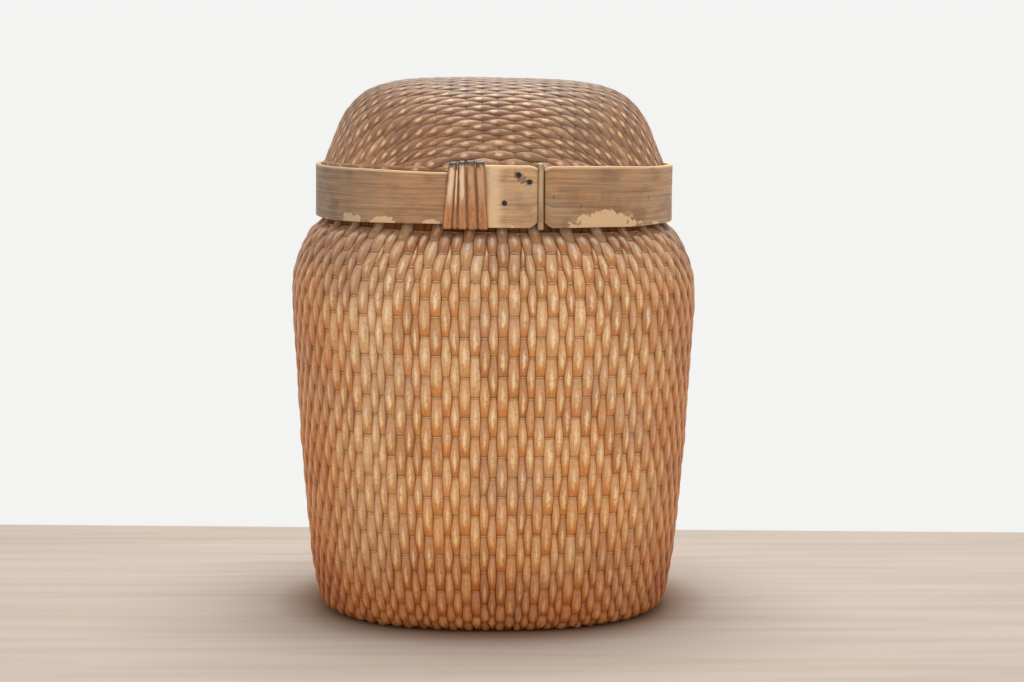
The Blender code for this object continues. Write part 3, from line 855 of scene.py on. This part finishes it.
def lash_corners(outer, rise=0.0):
    """The corners of a lid lashing's way: up the band's face and over its top edge, in through the dome,
    down behind the lid's hoop, out under the dome's edge and down inside the band to its lower edge."""
    room = GAP + CANE / 2
    inside_band, behind_hoop = BAND_INNER - room, LID_HOOP_INNER - room
    low, high = BAND_LOW - room, BAND_HIGH + room + rise
    return [
        (outer, low), (outer, high), (inside_band, high), (inside_band, SLOT_HEIGHT),
        (behind_hoop, SLOT_HEIGHT), (behind_hoop, DOME_LOW - room), (inside_band, DOME_LOW - room),
        (inside_band, low),
    ]


def make_lash(name, corners, top, foot, thickness, material, seed, turn=0.0, bow=0.0):
    """A flat cane strip round a closed way. top and foot are its x and width there, before the turn
    round the neck, so that it may lean."""
    path = loop_through(corners)
    low, high = path[:, 1].min(), path[:, 1].max()
    share = (path[:, 1] - low) / (high - low)
    x_along = foot[0] + (top[0] - foot[0]) * share
    width = foot[1] + (top[1] - foot[1]) * share
    width = width * (1 + 0.04 * smooth_noise(seed, np.arange(len(path)), 5.0))
    x, y, nx, ny = around(NECK_HALF_WIDTH, neck_share(x_along) + turn)
    outside = path[:, 0] > path[:, 0].max() - 1e-4
    out = path[:, 0] + bow * np.sin(np.pi * share) * outside
    centre = np.column_stack([x + nx * out, y + ny * out, path[:, 1]])
    direction = unit(np.roll(path, -1, 0) - np.roll(path, 1, 0))
    normal = np.column_stack([nx * direction[:, 1], ny * direction[:, 1], -direction[:, 0]])
    half = 0.5 * thickness
    rings = strand(centre, normal, level_vectors(ny, -nx), 0.5 * width, half, -half, FLAT_CANE_SECTION)
    bundle = Bundle()
    looks = 0.5 * share, seed * 0.137 % 1, seed * 0.237 % 1
    bundle.add(rings, FLAT_CANE_SECTION, *looks, distances(path), closed=True)
    return bundle.build(name, material)


def make_lashings(cane, joint_cane):
    """The cane strips that tie the band to the dome, at the front, the joint and the rear."""
    pieces = []
    outside = BAND_INNER + BAND + GAP + CANE / 2
    for i, (top, foot, rise) in enumerate(FRONT_STRIPS, 1):
        corners = lash_corners(outside, rise)
        pieces.append(make_lash(f"front_cane_{i}", corners, top, foot, CANE, cane, i, bow=FRONT_BOW))
        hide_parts(f"front_lash_{i}")
    for i, x in enumerate(REAR_STRIPS, 1):
        ends = (x, REAR_STRIP_WIDTH)
        corners = lash_corners(outside)
        pieces.append(make_lash(f"rear_cane_{i}", corners, ends, ends, CANE, cane, i + 11, turn=0.5))
        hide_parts(f"rear_lash_{i}")
    ends = (JOINT_X, JOINT_WIDTH - 2 * GAP)
    corners = lash_corners(BAND_INNER + GAP + CANE)
    pieces.append(make_lash("joint_cane_strip", corners, ends, ends, JOINT_CANE, joint_cane, 31))
    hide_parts("joint_cane")
    return pieces


def make_neck(hoop_material, cane):
    """The neck's two hoops, the round cane on its rim and the stitches round them."""
    inner_face = -WALL_THICKNESS - 2 * GAP - HOOP
    edges = level_edges(HOOP_LOW, HOOP_HIGH)
    hoops = [
        make_plank_ring(f"neck_hoop_{side}", 0, 1, edges, hoop_material, face, HOOP, warp=HOOP_WARP)
        for side, face in (("outside", GAP), ("inside", inner_face))
    ]
    rim_height = NECK_TOP + GAP + RIM_CANE
    shares = np.arange(300) / 300
    x, y, nx, ny = around(NECK_HALF_WIDTH, shares)
    offset = -0.5 * WALL_THICKNESS
    height = rim_height + wander(51, shares, 0.04, 0.0002)
    centre = np.column_stack([x + nx * offset, y + ny * offset, height])
    rings = strand(centre, level_vectors(nx, ny), UP, RIM_CANE, RIM_CANE, -RIM_CANE, ROUND_CANE_SECTION)
    rim = Bundle()
    rim.add(rings, ROUND_CANE_SECTION, 0.5, 0.3, 0.6, shares * NECK_ROUND, closed=True)
    pieces = [*hoops, rim.build("neck_rim_round_cane", cane)]
    for piece, node in zip(pieces, ("neck_outer_hoop", "neck_inner_hoop", "neck_rim_cane")):
        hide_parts(node)
    room = GAP + CANE / 2
    left, right = inner_face - room, GAP + HOOP + room
    low, high = HOOP_LOW - room, rim_height + RIM_CANE + room
    corners = [(right, low), (right, high), (left, high), (left, low)]
    ends = (0.0, STITCH_WIDTH)
    for i in range(STITCHES):
        turn = (i + 0.5) / STITCHES
        piece = make_lash(f"neck_cane_{i + 1}", corners, ends, ends, CANE, cane, 40 + i, turn)
        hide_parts(f"neck_stitch_{i + 1}")
        pieces.append(piece)
    return pieces


def make_lid_hoop(material):
    edges = level_edges(DOME_LOW, SLOT_HEIGHT - CANE)
    hoop = make_plank_ring(
        "lid_hoop_inside", 0, 1, edges, material, LID_HOOP_INNER, LID_HOOP, warp=HOOP_WARP,
    )
    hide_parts("lid_inner_hoop")
    return hoop


# ---------------------------------------------------------------- materials

class Nodes:
    """A node tree, and short ways to add the nodes that it needs."""

    def __init__(self, tree):
        self.tree = tree

    def fill(self, node, values):
        """Puts these values or links at the node's sockets, given by name or number."""
        for title, value in values.items():
            socket = node.inputs[title]
            if isinstance(value, bpy.types.NodeSocket):
                self.tree.links.new(value, socket)
            elif isinstance(value, tuple) and socket.type == "RGBA":
                socket.default_value = (*value, 1.0)
            else:
                socket.default_value = value

    def add(self, kind, values, **settings):
        node = self.tree.nodes.new(kind)
        for name, value in settings.items():
            setattr(node, name, value)
        self.fill(node, values)
        return node

    def calc(self, operation, *values):
        return self.add("ShaderNodeMath", dict(enumerate(values)), operation=operation).outputs[0]

    def sum(self, first, second):
        return self.calc("ADD", first, second)

    def less(self, first, second):
        return self.calc("SUBTRACT", first, second)

    def product(self, first, *others):
        for value in others:
            first = self.calc("MULTIPLY", first, value)
        return first

    def scale_add(self, value, factor, addend):
        return self.calc("MULTIPLY_ADD", value, factor, addend)

    def square_sum(self, first, second):
        return self.sum(self.product(first, first), self.product(second, second))

    def rise(self, value, low, high, kind="SMOOTHSTEP"):
        """0 below low and 1 above high; high may be the smaller one."""
        values = {0: value, 1: low, 2: high}
        return self.add("ShaderNodeMapRange", values, interpolation_type=kind).outputs[0]

    def mix(self, share, low, high, blend="MIX"):
        values = {0: share, 6: low, 7: high}
        return self.add("ShaderNodeMix", values, data_type="RGBA", blend_type=blend).outputs[2]

    def layers(self, colour, *layers):
        """Lays tints over a colour, each with a value, where that starts and is full, a share and a tint."""
        for value, low, high, share, tint in layers:
            colour = self.mix(self.product(self.rise(value, low, high), share), colour, tint)
        return colour

    def vector(self, x, y, z):
        return self.add("ShaderNodeCombineXYZ", {0: x, 1: y, 2: z}).outputs[0]

    def scaled(self, *parts):
        """A vector of three parts, each a value and its scale."""
        return self.vector(*(part if scale == 1 else self.product(part, scale) for part, scale in parts))

    def parts(self, vector):
        return self.add("ShaderNodeSeparateXYZ", {0: vector}).outputs[:]

    def noise(self, vector, scale, detail=2.0, distortion=0.0):
        values = {"Vector": vector, "Scale": scale, "Detail": detail, "Distortion": distortion}
        return self.add("ShaderNodeTexNoise", values).outputs[0]

    def cells(self, vector, scale):
        """Distance to the nearest of scattered points, for specks."""
        return self.add("ShaderNodeTexVoronoi", {"Vector": vector, "Scale": scale}).outputs["Distance"]

    def here(self, kind):
        """The place on the object, or the direction in the sky."""
        return self.add("ShaderNodeTexCoord", {}).outputs[kind]


class Paint(Nodes):
    """A material and its node tree."""

    def __init__(self, name, roughness, coat=0.0, coat_roughness=0.3, metallic=0.0):
        self.material = bpy.data.materials.new(name)
        self.material.use_nodes = True
        super().__init__(self.material.node_tree)
        self.shader = self.tree.nodes["Principled BSDF"]
        self.fill(self.shader, {
            "Roughness": roughness, "Coat Weight": coat, "Coat Roughness": coat_roughness,
            "Metallic": metallic,
        })

    def read(self, name):
        return self.parts(self.add("ShaderNodeAttribute", {}, attribute_name=name).outputs["Vector"])

    def place(self):
        return self.here("Object")

    def finish(self, colour, height, strength, distance=0.0005, roughness=None):
        bump = self.add("ShaderNodeBump", {"Strength": strength, "Distance": distance, "Height": height})
        self.fill(self.shader, {"Base Color": colour, "Normal": bump.outputs[0]})
        if roughness is not None:
            self.fill(self.shader, {"Roughness": roughness})
        return self.material


# The strength and distance of the bentwood's bump
WOOD_BUMP = 0.30, 0.0006


def tinted(colour, tint):
    """A colour times another one, or times a number."""
    return tuple(np.multiply(colour, tint).tolist())


# What the streak's colour is times, the streak being partly wear and partly a painted highlight: below its
# middle and above it
STREAK_TINTS = (0.98, 0.93, 0.74), (0.98, 0.98, 1.14)


def make_willow(name, painted_light, head, foot, dark, streak, dust, streak_size, grime_and_shade, roughness):
    """Old split willow. Each float is warmer at its foot and greyer at its head, with fibres along it, a
    pale streak on its crest that is partly wear and partly a painted highlight, and a painted shadow at its
    foot.
    streak_size is the streak's half width across the rod, and how far it reaches down and up the float. The
    last but one setting is how dark the float's outline is: painted shade along its edges, where dirt also
    lies, and at its ends."""
    paint = Paint(name, roughness, coat=0.24 - 0.32 * roughness, coat_roughness=0.35)
    _, across, seed = paint.read("weave")
    strand_seed, place, run = paint.read("strand")
    where = paint.place()
    number = paint.product(strand_seed, 60.0)
    fibres = paint.noise(paint.scaled((across, 4.5), (run, 60.0), (number, 1)), 1.0, 4.0)
    blotch = paint.noise(paint.scaled((across, 1.3), (run, 210.0), (number, 1)), 1.0, 3.0)
    mottle = paint.noise(where, 330.0, 4.0)
    shift = paint.less(blotch, 0.5)
    shade = paint.sum(paint.product(seed, 0.6), paint.product(strand_seed, 0.4))
    colour = paint.layers(
        paint.mix(paint.rise(paint.scale_add(shift, 0.55, place), 0.10, 0.60), foot, head),
        (shade, 0.50, 0.12, 0.50, dark), (shade, 0.60, 0.90, 0.30, streak),
        (fibres, 0.50, 0.72, 0.38, dark), (fibres, 0.46, 0.30, 0.22, streak),
        (paint.noise(where, 13.0, 4.0), 0.46, 0.70, 0.55, dust), (mottle, 0.48, 0.70, 0.36, dark),
    )
    # The streak, partly wear and partly a painted highlight, is a spindle, which the mottle breaks up
    wear = paint.noise(paint.scaled((seed, 40.0), (number, 1), (0.0, 1)), 1.0)
    off_crown = paint.calc("ABSOLUTE", paint.scale_add(shift, 0.9, across))
    above = paint.less(place, paint.scale_add(seed, 0.14, CREST - 0.09))
    width, down, up = streak_size
    along = paint.calc("MAXIMUM", paint.product(above, 1 / up), paint.product(above, -1 / down))
    spindle = paint.scale_add(off_crown, 1 / width, paint.product(along, along))
    broken = paint.scale_add(paint.rise(mottle, 0.72, 0.50), 0.65, 0.35)
    worn = paint.product(paint.rise(spindle, 1.0, 0.10), paint.scale_add(wear, 2.4, -0.38), broken)
    golden, pinkish = (tinted(streak, tint) for tint in STREAK_TINTS)
    colour = paint.mix(worn, colour, paint.mix(paint.rise(above, -0.10, 0.16), golden, pinkish))
    # Specks, then painted shade: darkening along each float's edges, where dirt also lies, a painted shadow
    # at its foot and painted shade at its head
    patches = paint.rise(paint.noise(where, 70.0), 0.46, 0.62)
    specks = paint.product(paint.rise(paint.cells(where, 480.0), 0.20, 0.10), patches, 0.40)
    colour = paint.mix(specks, colour, tinted(dark, 0.5))
    edge = paint.product(paint.rise(paint.calc("ABSOLUTE", across), 0.78, 1.0), 0.42)
    foot_shadow = paint.product(paint.rise(place, 0.060, 0.015), 0.70)
    head_shade = paint.product(paint.rise(place, 0.95, 0.99), 0.30)
    shade_lines = paint.calc("MAXIMUM", edge, paint.calc("MAXIMUM", foot_shadow, head_shade))
    colour = paint.mix(paint.product(shade_lines, grime_and_shade), colour, tinted(dark, 0.5))
    rough = paint.scale_add(fibres, 0.30, roughness - 0.15)
    # Over all, the painted shade that the body and the lid each get
    return paint.finish(painted_light(paint, colour), fibres, 0.35, roughness=rough)


def painted_body_shade(paint, colour):
    """Painted shade on the body: darkens its sides, where they turn from the light, and its foot to a warmer
    brown, makes it warmer towards the bottom, and darkens and greys its shoulder in the band's shadow.
    """
    where = paint.place()
    x, _, height = paint.parts(where)
    below = paint.rise(height, 0.345, 0.265)
    side = paint.product(paint.rise(paint.calc("ABSOLUTE", x), 0.100, 0.165), below)
    upper = paint.rise(paint.scale_add(paint.noise(where, 12.0), 0.08, height), 0.29, 0.37)
    # Painted shade on the sides and at the foot, a warmer tint towards the bottom, and painted shade under
    # the band at the shoulder
    changes = [
        (side, (0.76, 0.56, 0.34)), (paint.rise(height, 0.26, 0.08), (1.05, 0.96, 0.84)),
        (paint.rise(height, 0.10, 0.01), (0.72, 0.52, 0.38)), (upper, (0.52, 0.50, 0.57)),
    ]
    for share, tint in changes:
        colour = paint.mix(share, colour, tint, "MULTIPLY")
    return colour


def willow_body():
    return make_willow(
        "old_willow", painted_body_shade, head=(0.74, 0.400, 0.175), foot=(0.68, 0.260, 0.056), dark=(0.40, 0.140, 0.038),
        streak=(1.0, 0.76, 0.43), dust=(0.60, 0.385, 0.235), streak_size=(0.52, 0.27, 0.42),
        grime_and_shade=1.0, roughness=0.44,
    )


def lid_top_sheen_shade(paint, colour):
    """Greys the lid towards its top and darkens it there: a painted grey sheen of the sky, and painted
    shade.
    """
    _, _, height = paint.parts(paint.place())
    return paint.mix(paint.rise(height, 0.405, 0.47), colour, (0.56, 0.62, 0.71), "MULTIPLY")


def willow_lid():
    return make_willow(
        "weathered_willow", lid_top_sheen_shade, head=(0.297, 0.147, 0.071), foot=(0.31, 0.134, 0.056),
        dark=(0.165, 0.072, 0.033), streak=(0.78, 0.48, 0.25), dust=(0.265, 0.160, 0.095),
        streak_size=(0.70, 0.16, 0.18), grime_and_shade=0.60, roughness=0.54,
    )


def twisted_cord(name, low, high, painted_light):
    """Thin twisted cord, low being the colour of its dark turns and frayed places."""
    paint = Paint(name, 0.8)
    _, across, _ = paint.read("weave")
    _, _, run = paint.read("strand")
    twist = paint.calc("SINE", paint.sum(paint.product(run, 2600.0), paint.product(across, 2.0)))
    fray = paint.noise(paint.vector(run, across, 0.0), 300.0, 3.0)
    colour = paint.mix(paint.rise(twist, -1.4, 0.6), low, high)
    colour = paint.layers(colour, (fray, 0.50, 0.70, 0.6, low))
    # Over all, the painted shade of the wicker that the cord lies in
    return paint.finish(painted_light(paint, colour), twist, 0.5, 0.0003)


def bent_wood(name, base, warm, grey, pale, chips=(), worn=None):
    """Weathered bentwood with grain along it, warm, greyed and dark patches and a light worn upper edge.
    chips are pale places on the lower edge where the skin has split off, each with its distance round,
    half length and height. worn is a pale stretch: the distances round at which it starts and is full, and
    those at which it has ended and is still full."""
    paint = Paint(name, 0.60, coat=0.06, coat_roughness=0.4)
    _, height, _ = paint.read("weave")
    _, _, run = paint.read("strand")

    def pattern(along, up, detail, seed):
        return paint.noise(paint.scaled((run, along), (height, up), (seed, 1)), 1.0, detail, 0.3)

    grain, fine = pattern(14.0, 26.0, 5.0, 1.7), pattern(70.0, 75.0, 3.0, 5.1)
    dark = tinted(base, 0.42)
    colour = paint.layers(
        paint.mix(paint.rise(pattern(26.0, 1.8, 4.0, 0.0), 0.36, 0.64), base, grey),
        (pattern(33.0, 2.6, 4.0, 9.0), 0.46, 0.70, 0.55, warm),
        (pattern(40.0, 2.2, 5.0, 3.0), 0.44, 0.68, 0.62, dark),
        (grain, 0.46, 0.70, 0.58, dark), (grain, 0.46, 0.30, 0.25, pale), (fine, 0.50, 0.72, 0.45, dark),
    )
    if worn:
        place = paint.scale_add(grain, 0.006, run)
        wear = paint.calc("MINIMUM", paint.rise(place, *worn[:2]), paint.rise(place, *worn[2:]))
        colour = paint.mix(paint.product(wear, 0.70), colour, pale)
    # Bare wood: the chips, and a broken line along the lowest edge
    ragged = paint.product(paint.less(pattern(190.0, 9.0, 6.0, 7.0), 0.5), 3.4)
    lowest = paint.rise(height, 0.06, 0.03)
    bare = paint.product(paint.rise(pattern(60.0, 2.0, 3.0, 2.0), 0.56, 0.60), lowest)
    for along, half_length, tall in chips:
        across_chip = paint.product(paint.less(run, along % NECK_ROUND), 1 / half_length)
        out = paint.square_sum(across_chip, paint.product(height, 1 / tall))
        bare = paint.calc("MAXIMUM", bare, paint.rise(paint.sum(out, ragged), 1.08, 0.92))
    edge = paint.scale_add(paint.less(fine, 0.5), 0.05, height)
    top = paint.product(paint.rise(edge, 0.962, 0.985), 0.80)
    colour = paint.mix(paint.calc("MAXIMUM", top, paint.product(bare, 0.85)), colour, pale)
    holes = paint.cells(paint.scaled((run, 1), (height, 0.05), (0.0, 1)), 45.0)
    colour = paint.layers(colour, (holes, 0.075, 0.03, 0.55, (0.045, 0.03, 0.03)))
    return paint, colour, paint.less(grain, paint.product(bare, 0.5))


def band_wood():
    """The band's long strip, greyer round its left end."""
    paint, colour, relief = bent_wood(
        "band_wood", (0.465, 0.238, 0.104), (0.54, 0.258, 0.104), (0.40, 0.250, 0.138), (0.76, 0.50, 0.275),
        BAND_CHIPS,
    )
    x, _, _ = paint.parts(paint.place())
    colour = paint.mix(paint.rise(x, -0.080, -0.150), colour, (0.60, 0.66, 0.72), "MULTIPLY")
    return paint.finish(colour, relief, *WOOD_BUMP)


def splice_wood():
    """The splice's wood, paler beside the lashing, with a soot smear by its upper tacks."""
    paint, colour, relief = bent_wood(
        "splice_wood", (0.64, 0.365, 0.180), (0.68, 0.350, 0.150), (0.57, 0.36, 0.205), (0.86, 0.60, 0.33),
        worn=(-0.008, -0.003, 0.009, 0.0),
    )
    _, height, _ = paint.read("weave")
    _, _, run = paint.read("strand")
    along = paint.product(paint.less(run, 0.0175), 110.0)
    up = paint.product(paint.less(paint.scale_add(run, 12.0, height), 1.01), 9.0)
    ragged = paint.noise(paint.scaled((run, 420.0), (height, 26.0), (0.0, 1)), 1.0, 4.0)
    smear = paint.scale_add(ragged, 3.0, paint.square_sum(along, up))
    colour = paint.layers(colour, (smear, 2.2, 1.5, 0.75, (0.10, 0.060, 0.045)))
    return paint.finish(colour, relief, *WOOD_BUMP)


def plain_wood(*settings):
    paint, colour, relief = bent_wood(*settings)
    return paint.finish(colour, relief, *WOOD_BUMP)


def split_cane(name, base, pale, sooty):
    """Glossy split cane, streaked along its length and pale on some strips' upper parts, partly worn and
    partly a painted highlight, with painted shade along its edges. sooty is how dark its tops are."""
    paint = Paint(name, 0.42, coat=0.18, coat_roughness=0.3)
    height, across, seed = paint.read("weave")
    _, _, run = paint.read("strand")
    number = paint.product(seed, 40.0)
    streaks = paint.noise(paint.scaled((across, 3.6), (run, 30.0), (number, 1)), 1.6, 4.0)
    mottle = paint.noise(paint.scaled((across, 1.5), (run, 160.0), (number, 1)), 1.0, 3.0)
    dark = tinted(base, 0.38)
    colour = paint.mix(paint.rise(streaks, 0.42, 0.66), base, tinted(base, 1.6))
    colour = paint.layers(colour, (mottle, 0.46, 0.70, 0.60, dark))
    # A pale crown on some strips' upper parts: partly wear and partly a painted highlight
    upper = paint.rise(paint.scale_add(mottle, 0.30, height), 0.42, 0.72)
    off_crown = paint.calc("ABSOLUTE", paint.scale_add(mottle, 0.7, paint.less(across, 0.35)))
    worn = paint.scale_add(paint.rise(seed, 0.50, 0.44), 0.62, 0.28)
    colour = paint.mix(paint.product(upper, paint.rise(off_crown, 0.85, 0.25), worn), colour, pale)
    burnt = paint.product(paint.noise(paint.place(), 260.0, 3.0), 0.20)
    # Painted shade along each strip's edges, then soot on the tops
    colour = paint.layers(
        colour, (paint.calc("ABSOLUTE", across), 0.66, 1.0, 0.75, dark),
        (paint.sum(height, burnt), 0.985, 1.065, sooty, (0.020, 0.020, 0.023)),
    )
    return paint.finish(colour, streaks, 0.35, 0.0005)


def rusty_iron():
    paint = Paint("rusty_iron", 0.62, metallic=0.6)
    rust = paint.noise(paint.place(), 900.0, 4.0)
    colour = paint.mix(paint.rise(rust, 0.42, 0.68), (0.022, 0.020, 0.024), (0.085, 0.040, 0.022))
    return paint.finish(colour, rust, 0.5, 0.0003)


# ---------------------------------------------------------------- stage

def make_stage():
    """One plain ground: a pale table with a painted warm shadow round the basket's foot, and plain white
    beyond its edges, as bright as the sky's rim.
    """
    bpy.ops.mesh.primitive_plane_add(size=GROUND_SIZE)
    ground = bpy.context.object
    ground.name = "pale_ground"
    paint = Paint("pale_ground", 0.75)
    x, y, _ = paint.parts(paint.place())
    grain = paint.noise(paint.scaled((x, 1.3), (y, 22.0), (0.0, 1)), 2.2, 5.0, 0.2)
    broad = paint.noise(paint.scaled((x, 0.8), (y, 5.0), (4.0, 1)), 1.6, 2.0)
    table = paint.mix(paint.rise(grain, 0.34, 0.70), TABLE_COLOUR, tinted(TABLE_COLOUR, 0.90))
    broad = paint.product(paint.rise(broad, 0.40, 0.64), 0.5)
    table = paint.mix(broad, table, (0.94, 0.91, 0.87), "MULTIPLY")
    # A painted warm shadow on the table round the basket's foot
    wide, deep = paint.product(x, 1 / FOOT_SHADE[0]), paint.product(y, 1 / FOOT_SHADE[1])
    near = paint.rise(paint.square_sum(wide, deep), 1.0, 0.45)
    table = paint.mix(near, table, (0.66, 0.50, 0.38), "MULTIPLY")
    reach = paint.scale_add(x, TABLE_SLANT, y)
    behind = paint.rise(reach, TABLE_DEPTH, TABLE_DEPTH + TABLE_EDGE)
    before = paint.rise(y, TABLE_FRONT, TABLE_FRONT - TABLE_EDGE)
    beside = paint.rise(paint.calc("ABSOLUTE", x), TABLE_SIDE, TABLE_SIDE + TABLE_EDGE)
    beyond = paint.calc("MAXIMUM", paint.calc("MAXIMUM", behind, before), beside)
    away = paint.calc("POWER", paint.square_sum(x, y), 0.5)
    ahead = paint.product(paint.calc("DIVIDE", y, away), -1 / FRONT_REACH)
    paint.fill(paint.shader, {
        "Base Color": paint.mix(beyond, table, (0.0, 0.0, 0.0)), "IOR": 1.0,
        "Emission Color": paint.mix(ahead, HORIZON_LIGHT, FRONT_LIGHT), "Emission Strength": beyond,
    })
    ground.data.materials.append(paint.material)


def make_lights():
    """A pale sky, a little brighter low in front, and one large soft lamp overhead."""
    world = bpy.data.worlds.new("studio")
    bpy.context.scene.world = world
    world.use_nodes = True
    sky = Nodes(world.node_tree)
    _, y, z = sky.parts(sky.here("Generated"))
    rim = sky.mix(sky.rise(y, -FRONT_REACH, 0.0, "LINEAR"), FRONT_LIGHT, HORIZON_LIGHT)
    light = sky.mix(sky.rise(z, *ZENITH_START_END, "LINEAR"), rim, ZENITH_LIGHT)
    sky.fill(sky.tree.nodes["Background"], {"Color": light})
    data = bpy.data.lights.new("key", "AREA")
    data.shape = "DISK"
    data.size, data.energy, data.color = KEY_SIZE, KEY_POWER, (1.0, 0.98, 0.95)
    lamp = bpy.data.objects.new("key", data)
    lamp.location = KEY_PLACE
    lamp.rotation_euler = (Vector(KEY_AIM) - Vector(KEY_PLACE)).to_track_quat("-Z", "Y").to_euler()
    bpy.context.scene.collection.objects.link(lamp)
    bpy.context.scene.view_settings.view_transform = "Standard"


def make_camera():
    """The camera just above the lid's level, in front and slightly to the left."""
    round_turn, pan, pitch, roll = (math.radians(angle) for angle in CAMERA_ANGLES)
    back = Vector((math.sin(round_turn), math.cos(round_turn), 0)) * CAMERA_DISTANCE
    heading = round_turn + pan
    level_forward = Vector((math.sin(heading), math.cos(heading), 0))
    forward = level_forward * math.cos(pitch) - Vector((0, 0, math.sin(pitch)))
    right = Vector((math.cos(heading), -math.sin(heading), 0))
    up = right.cross(forward)
    tilted_right = right * math.cos(roll) + up * math.sin(roll)
    tilted_up = up * math.cos(roll) - right * math.sin(roll)
    data = bpy.data.cameras.new("camera")
    data.lens, data.sensor_width = LENS, 36.0
    camera = bpy.data.objects.new("camera", data)
    turn = Matrix((tilted_right, tilted_up, -forward)).transposed().to_4x4()
    camera.matrix_world = Matrix.Translation(Vector((-back.x, -back.y, CAMERA_HEIGHT))) @ turn
    bpy.context.scene.collection.objects.link(camera)
    bpy.context.scene.camera = camera


# ---------------------------------------------------------------- assembly

def place_on(body, slot, *pieces):
    for piece in pieces:
        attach(piece, body)


def paint_node(name, material):
    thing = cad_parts[name]
    for holder in thing.material_slots:
        holder.material = material


# The hoops' base, warm, grey and pale colours, and each cord's low and high ones
HOOP_COLOURS = (0.30, 0.18, 0.095), (0.34, 0.175, 0.080), (0.26, 0.18, 0.12), (0.52, 0.36, 0.20)
PALE_CORD_COLOURS = (0.52, 0.29, 0.130), (0.80, 0.52, 0.27)
BROWN_CORD_COLOURS = (0.15, 0.085, 0.048), (0.25, 0.150, 0.085)


def make_basket():
    willow, twine = willow_body(), twisted_cord("pale_cord", *PALE_CORD_COLOURS, painted_body_shade)
    cane = split_cane("split_cane", (0.30, 0.120, 0.040), (0.62, 0.40, 0.235), 0.0)
    weave = BodyWeave()
    rods = make_body_rods(weave, willow)
    cords = make_body_cords(weave, twine, cane)
    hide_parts("woven_wall")
    base_rods, base_cords = make_base_mat(willow, twine)
    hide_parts("base_mat")
    place_on("basket", "willow_body", *rods, base_rods)
    place_on("basket", "hemp_cord", *cords[:2], base_cords)
    place_on("basket", "neck_cane", cords[2])
    hoop_wood = plain_wood("hoop_wood", *HOOP_COLOURS)
    neck = make_neck(hoop_wood, cane)
    place_on("basket", "hoop_wood", *neck[:2])
    place_on("basket", "neck_cane", *neck[2:])


def make_lid():
    willow, twine = willow_lid(), twisted_cord("brown_cord", *BROWN_CORD_COLOURS, lid_top_sheen_shade)
    weave = DomeWeave()
    rods = make_dome_rods(weave, willow)
    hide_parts("lid_dome")
    place_on("lid", "willow_lid", *rods)
    place_on("lid", "hemp_cord", *make_dome_cords(weave, twine))
    strip, splice = make_band(band_wood(), splice_wood())
    place_on("lid", "band_wood", strip)
    place_on("lid", "splice_wood", splice)
    hoop_wood = plain_wood("lid_hoop_wood", *HOOP_COLOURS)
    place_on("lid", "hoop_wood", make_lid_hoop(hoop_wood))
    lash_cane = split_cane("lash_cane", (0.42, 0.160, 0.045), (0.88, 0.64, 0.42), 0.92)
    joint_cane = split_cane("joint_cane_skin", (0.36, 0.230, 0.105), (0.56, 0.41, 0.22), 0.3)
    lashings = make_lashings(lash_cane, joint_cane)
    place_on("lid", "lash_cane", *lashings[:-1])
    place_on("lid", "joint_cane", lashings[-1])
    iron = rusty_iron()
    for i in (1, 2, 3):
        paint_node(f"lid_tack_{i}", iron)


make_stage()
make_lights()
make_camera()
make_basket()
make_lid()
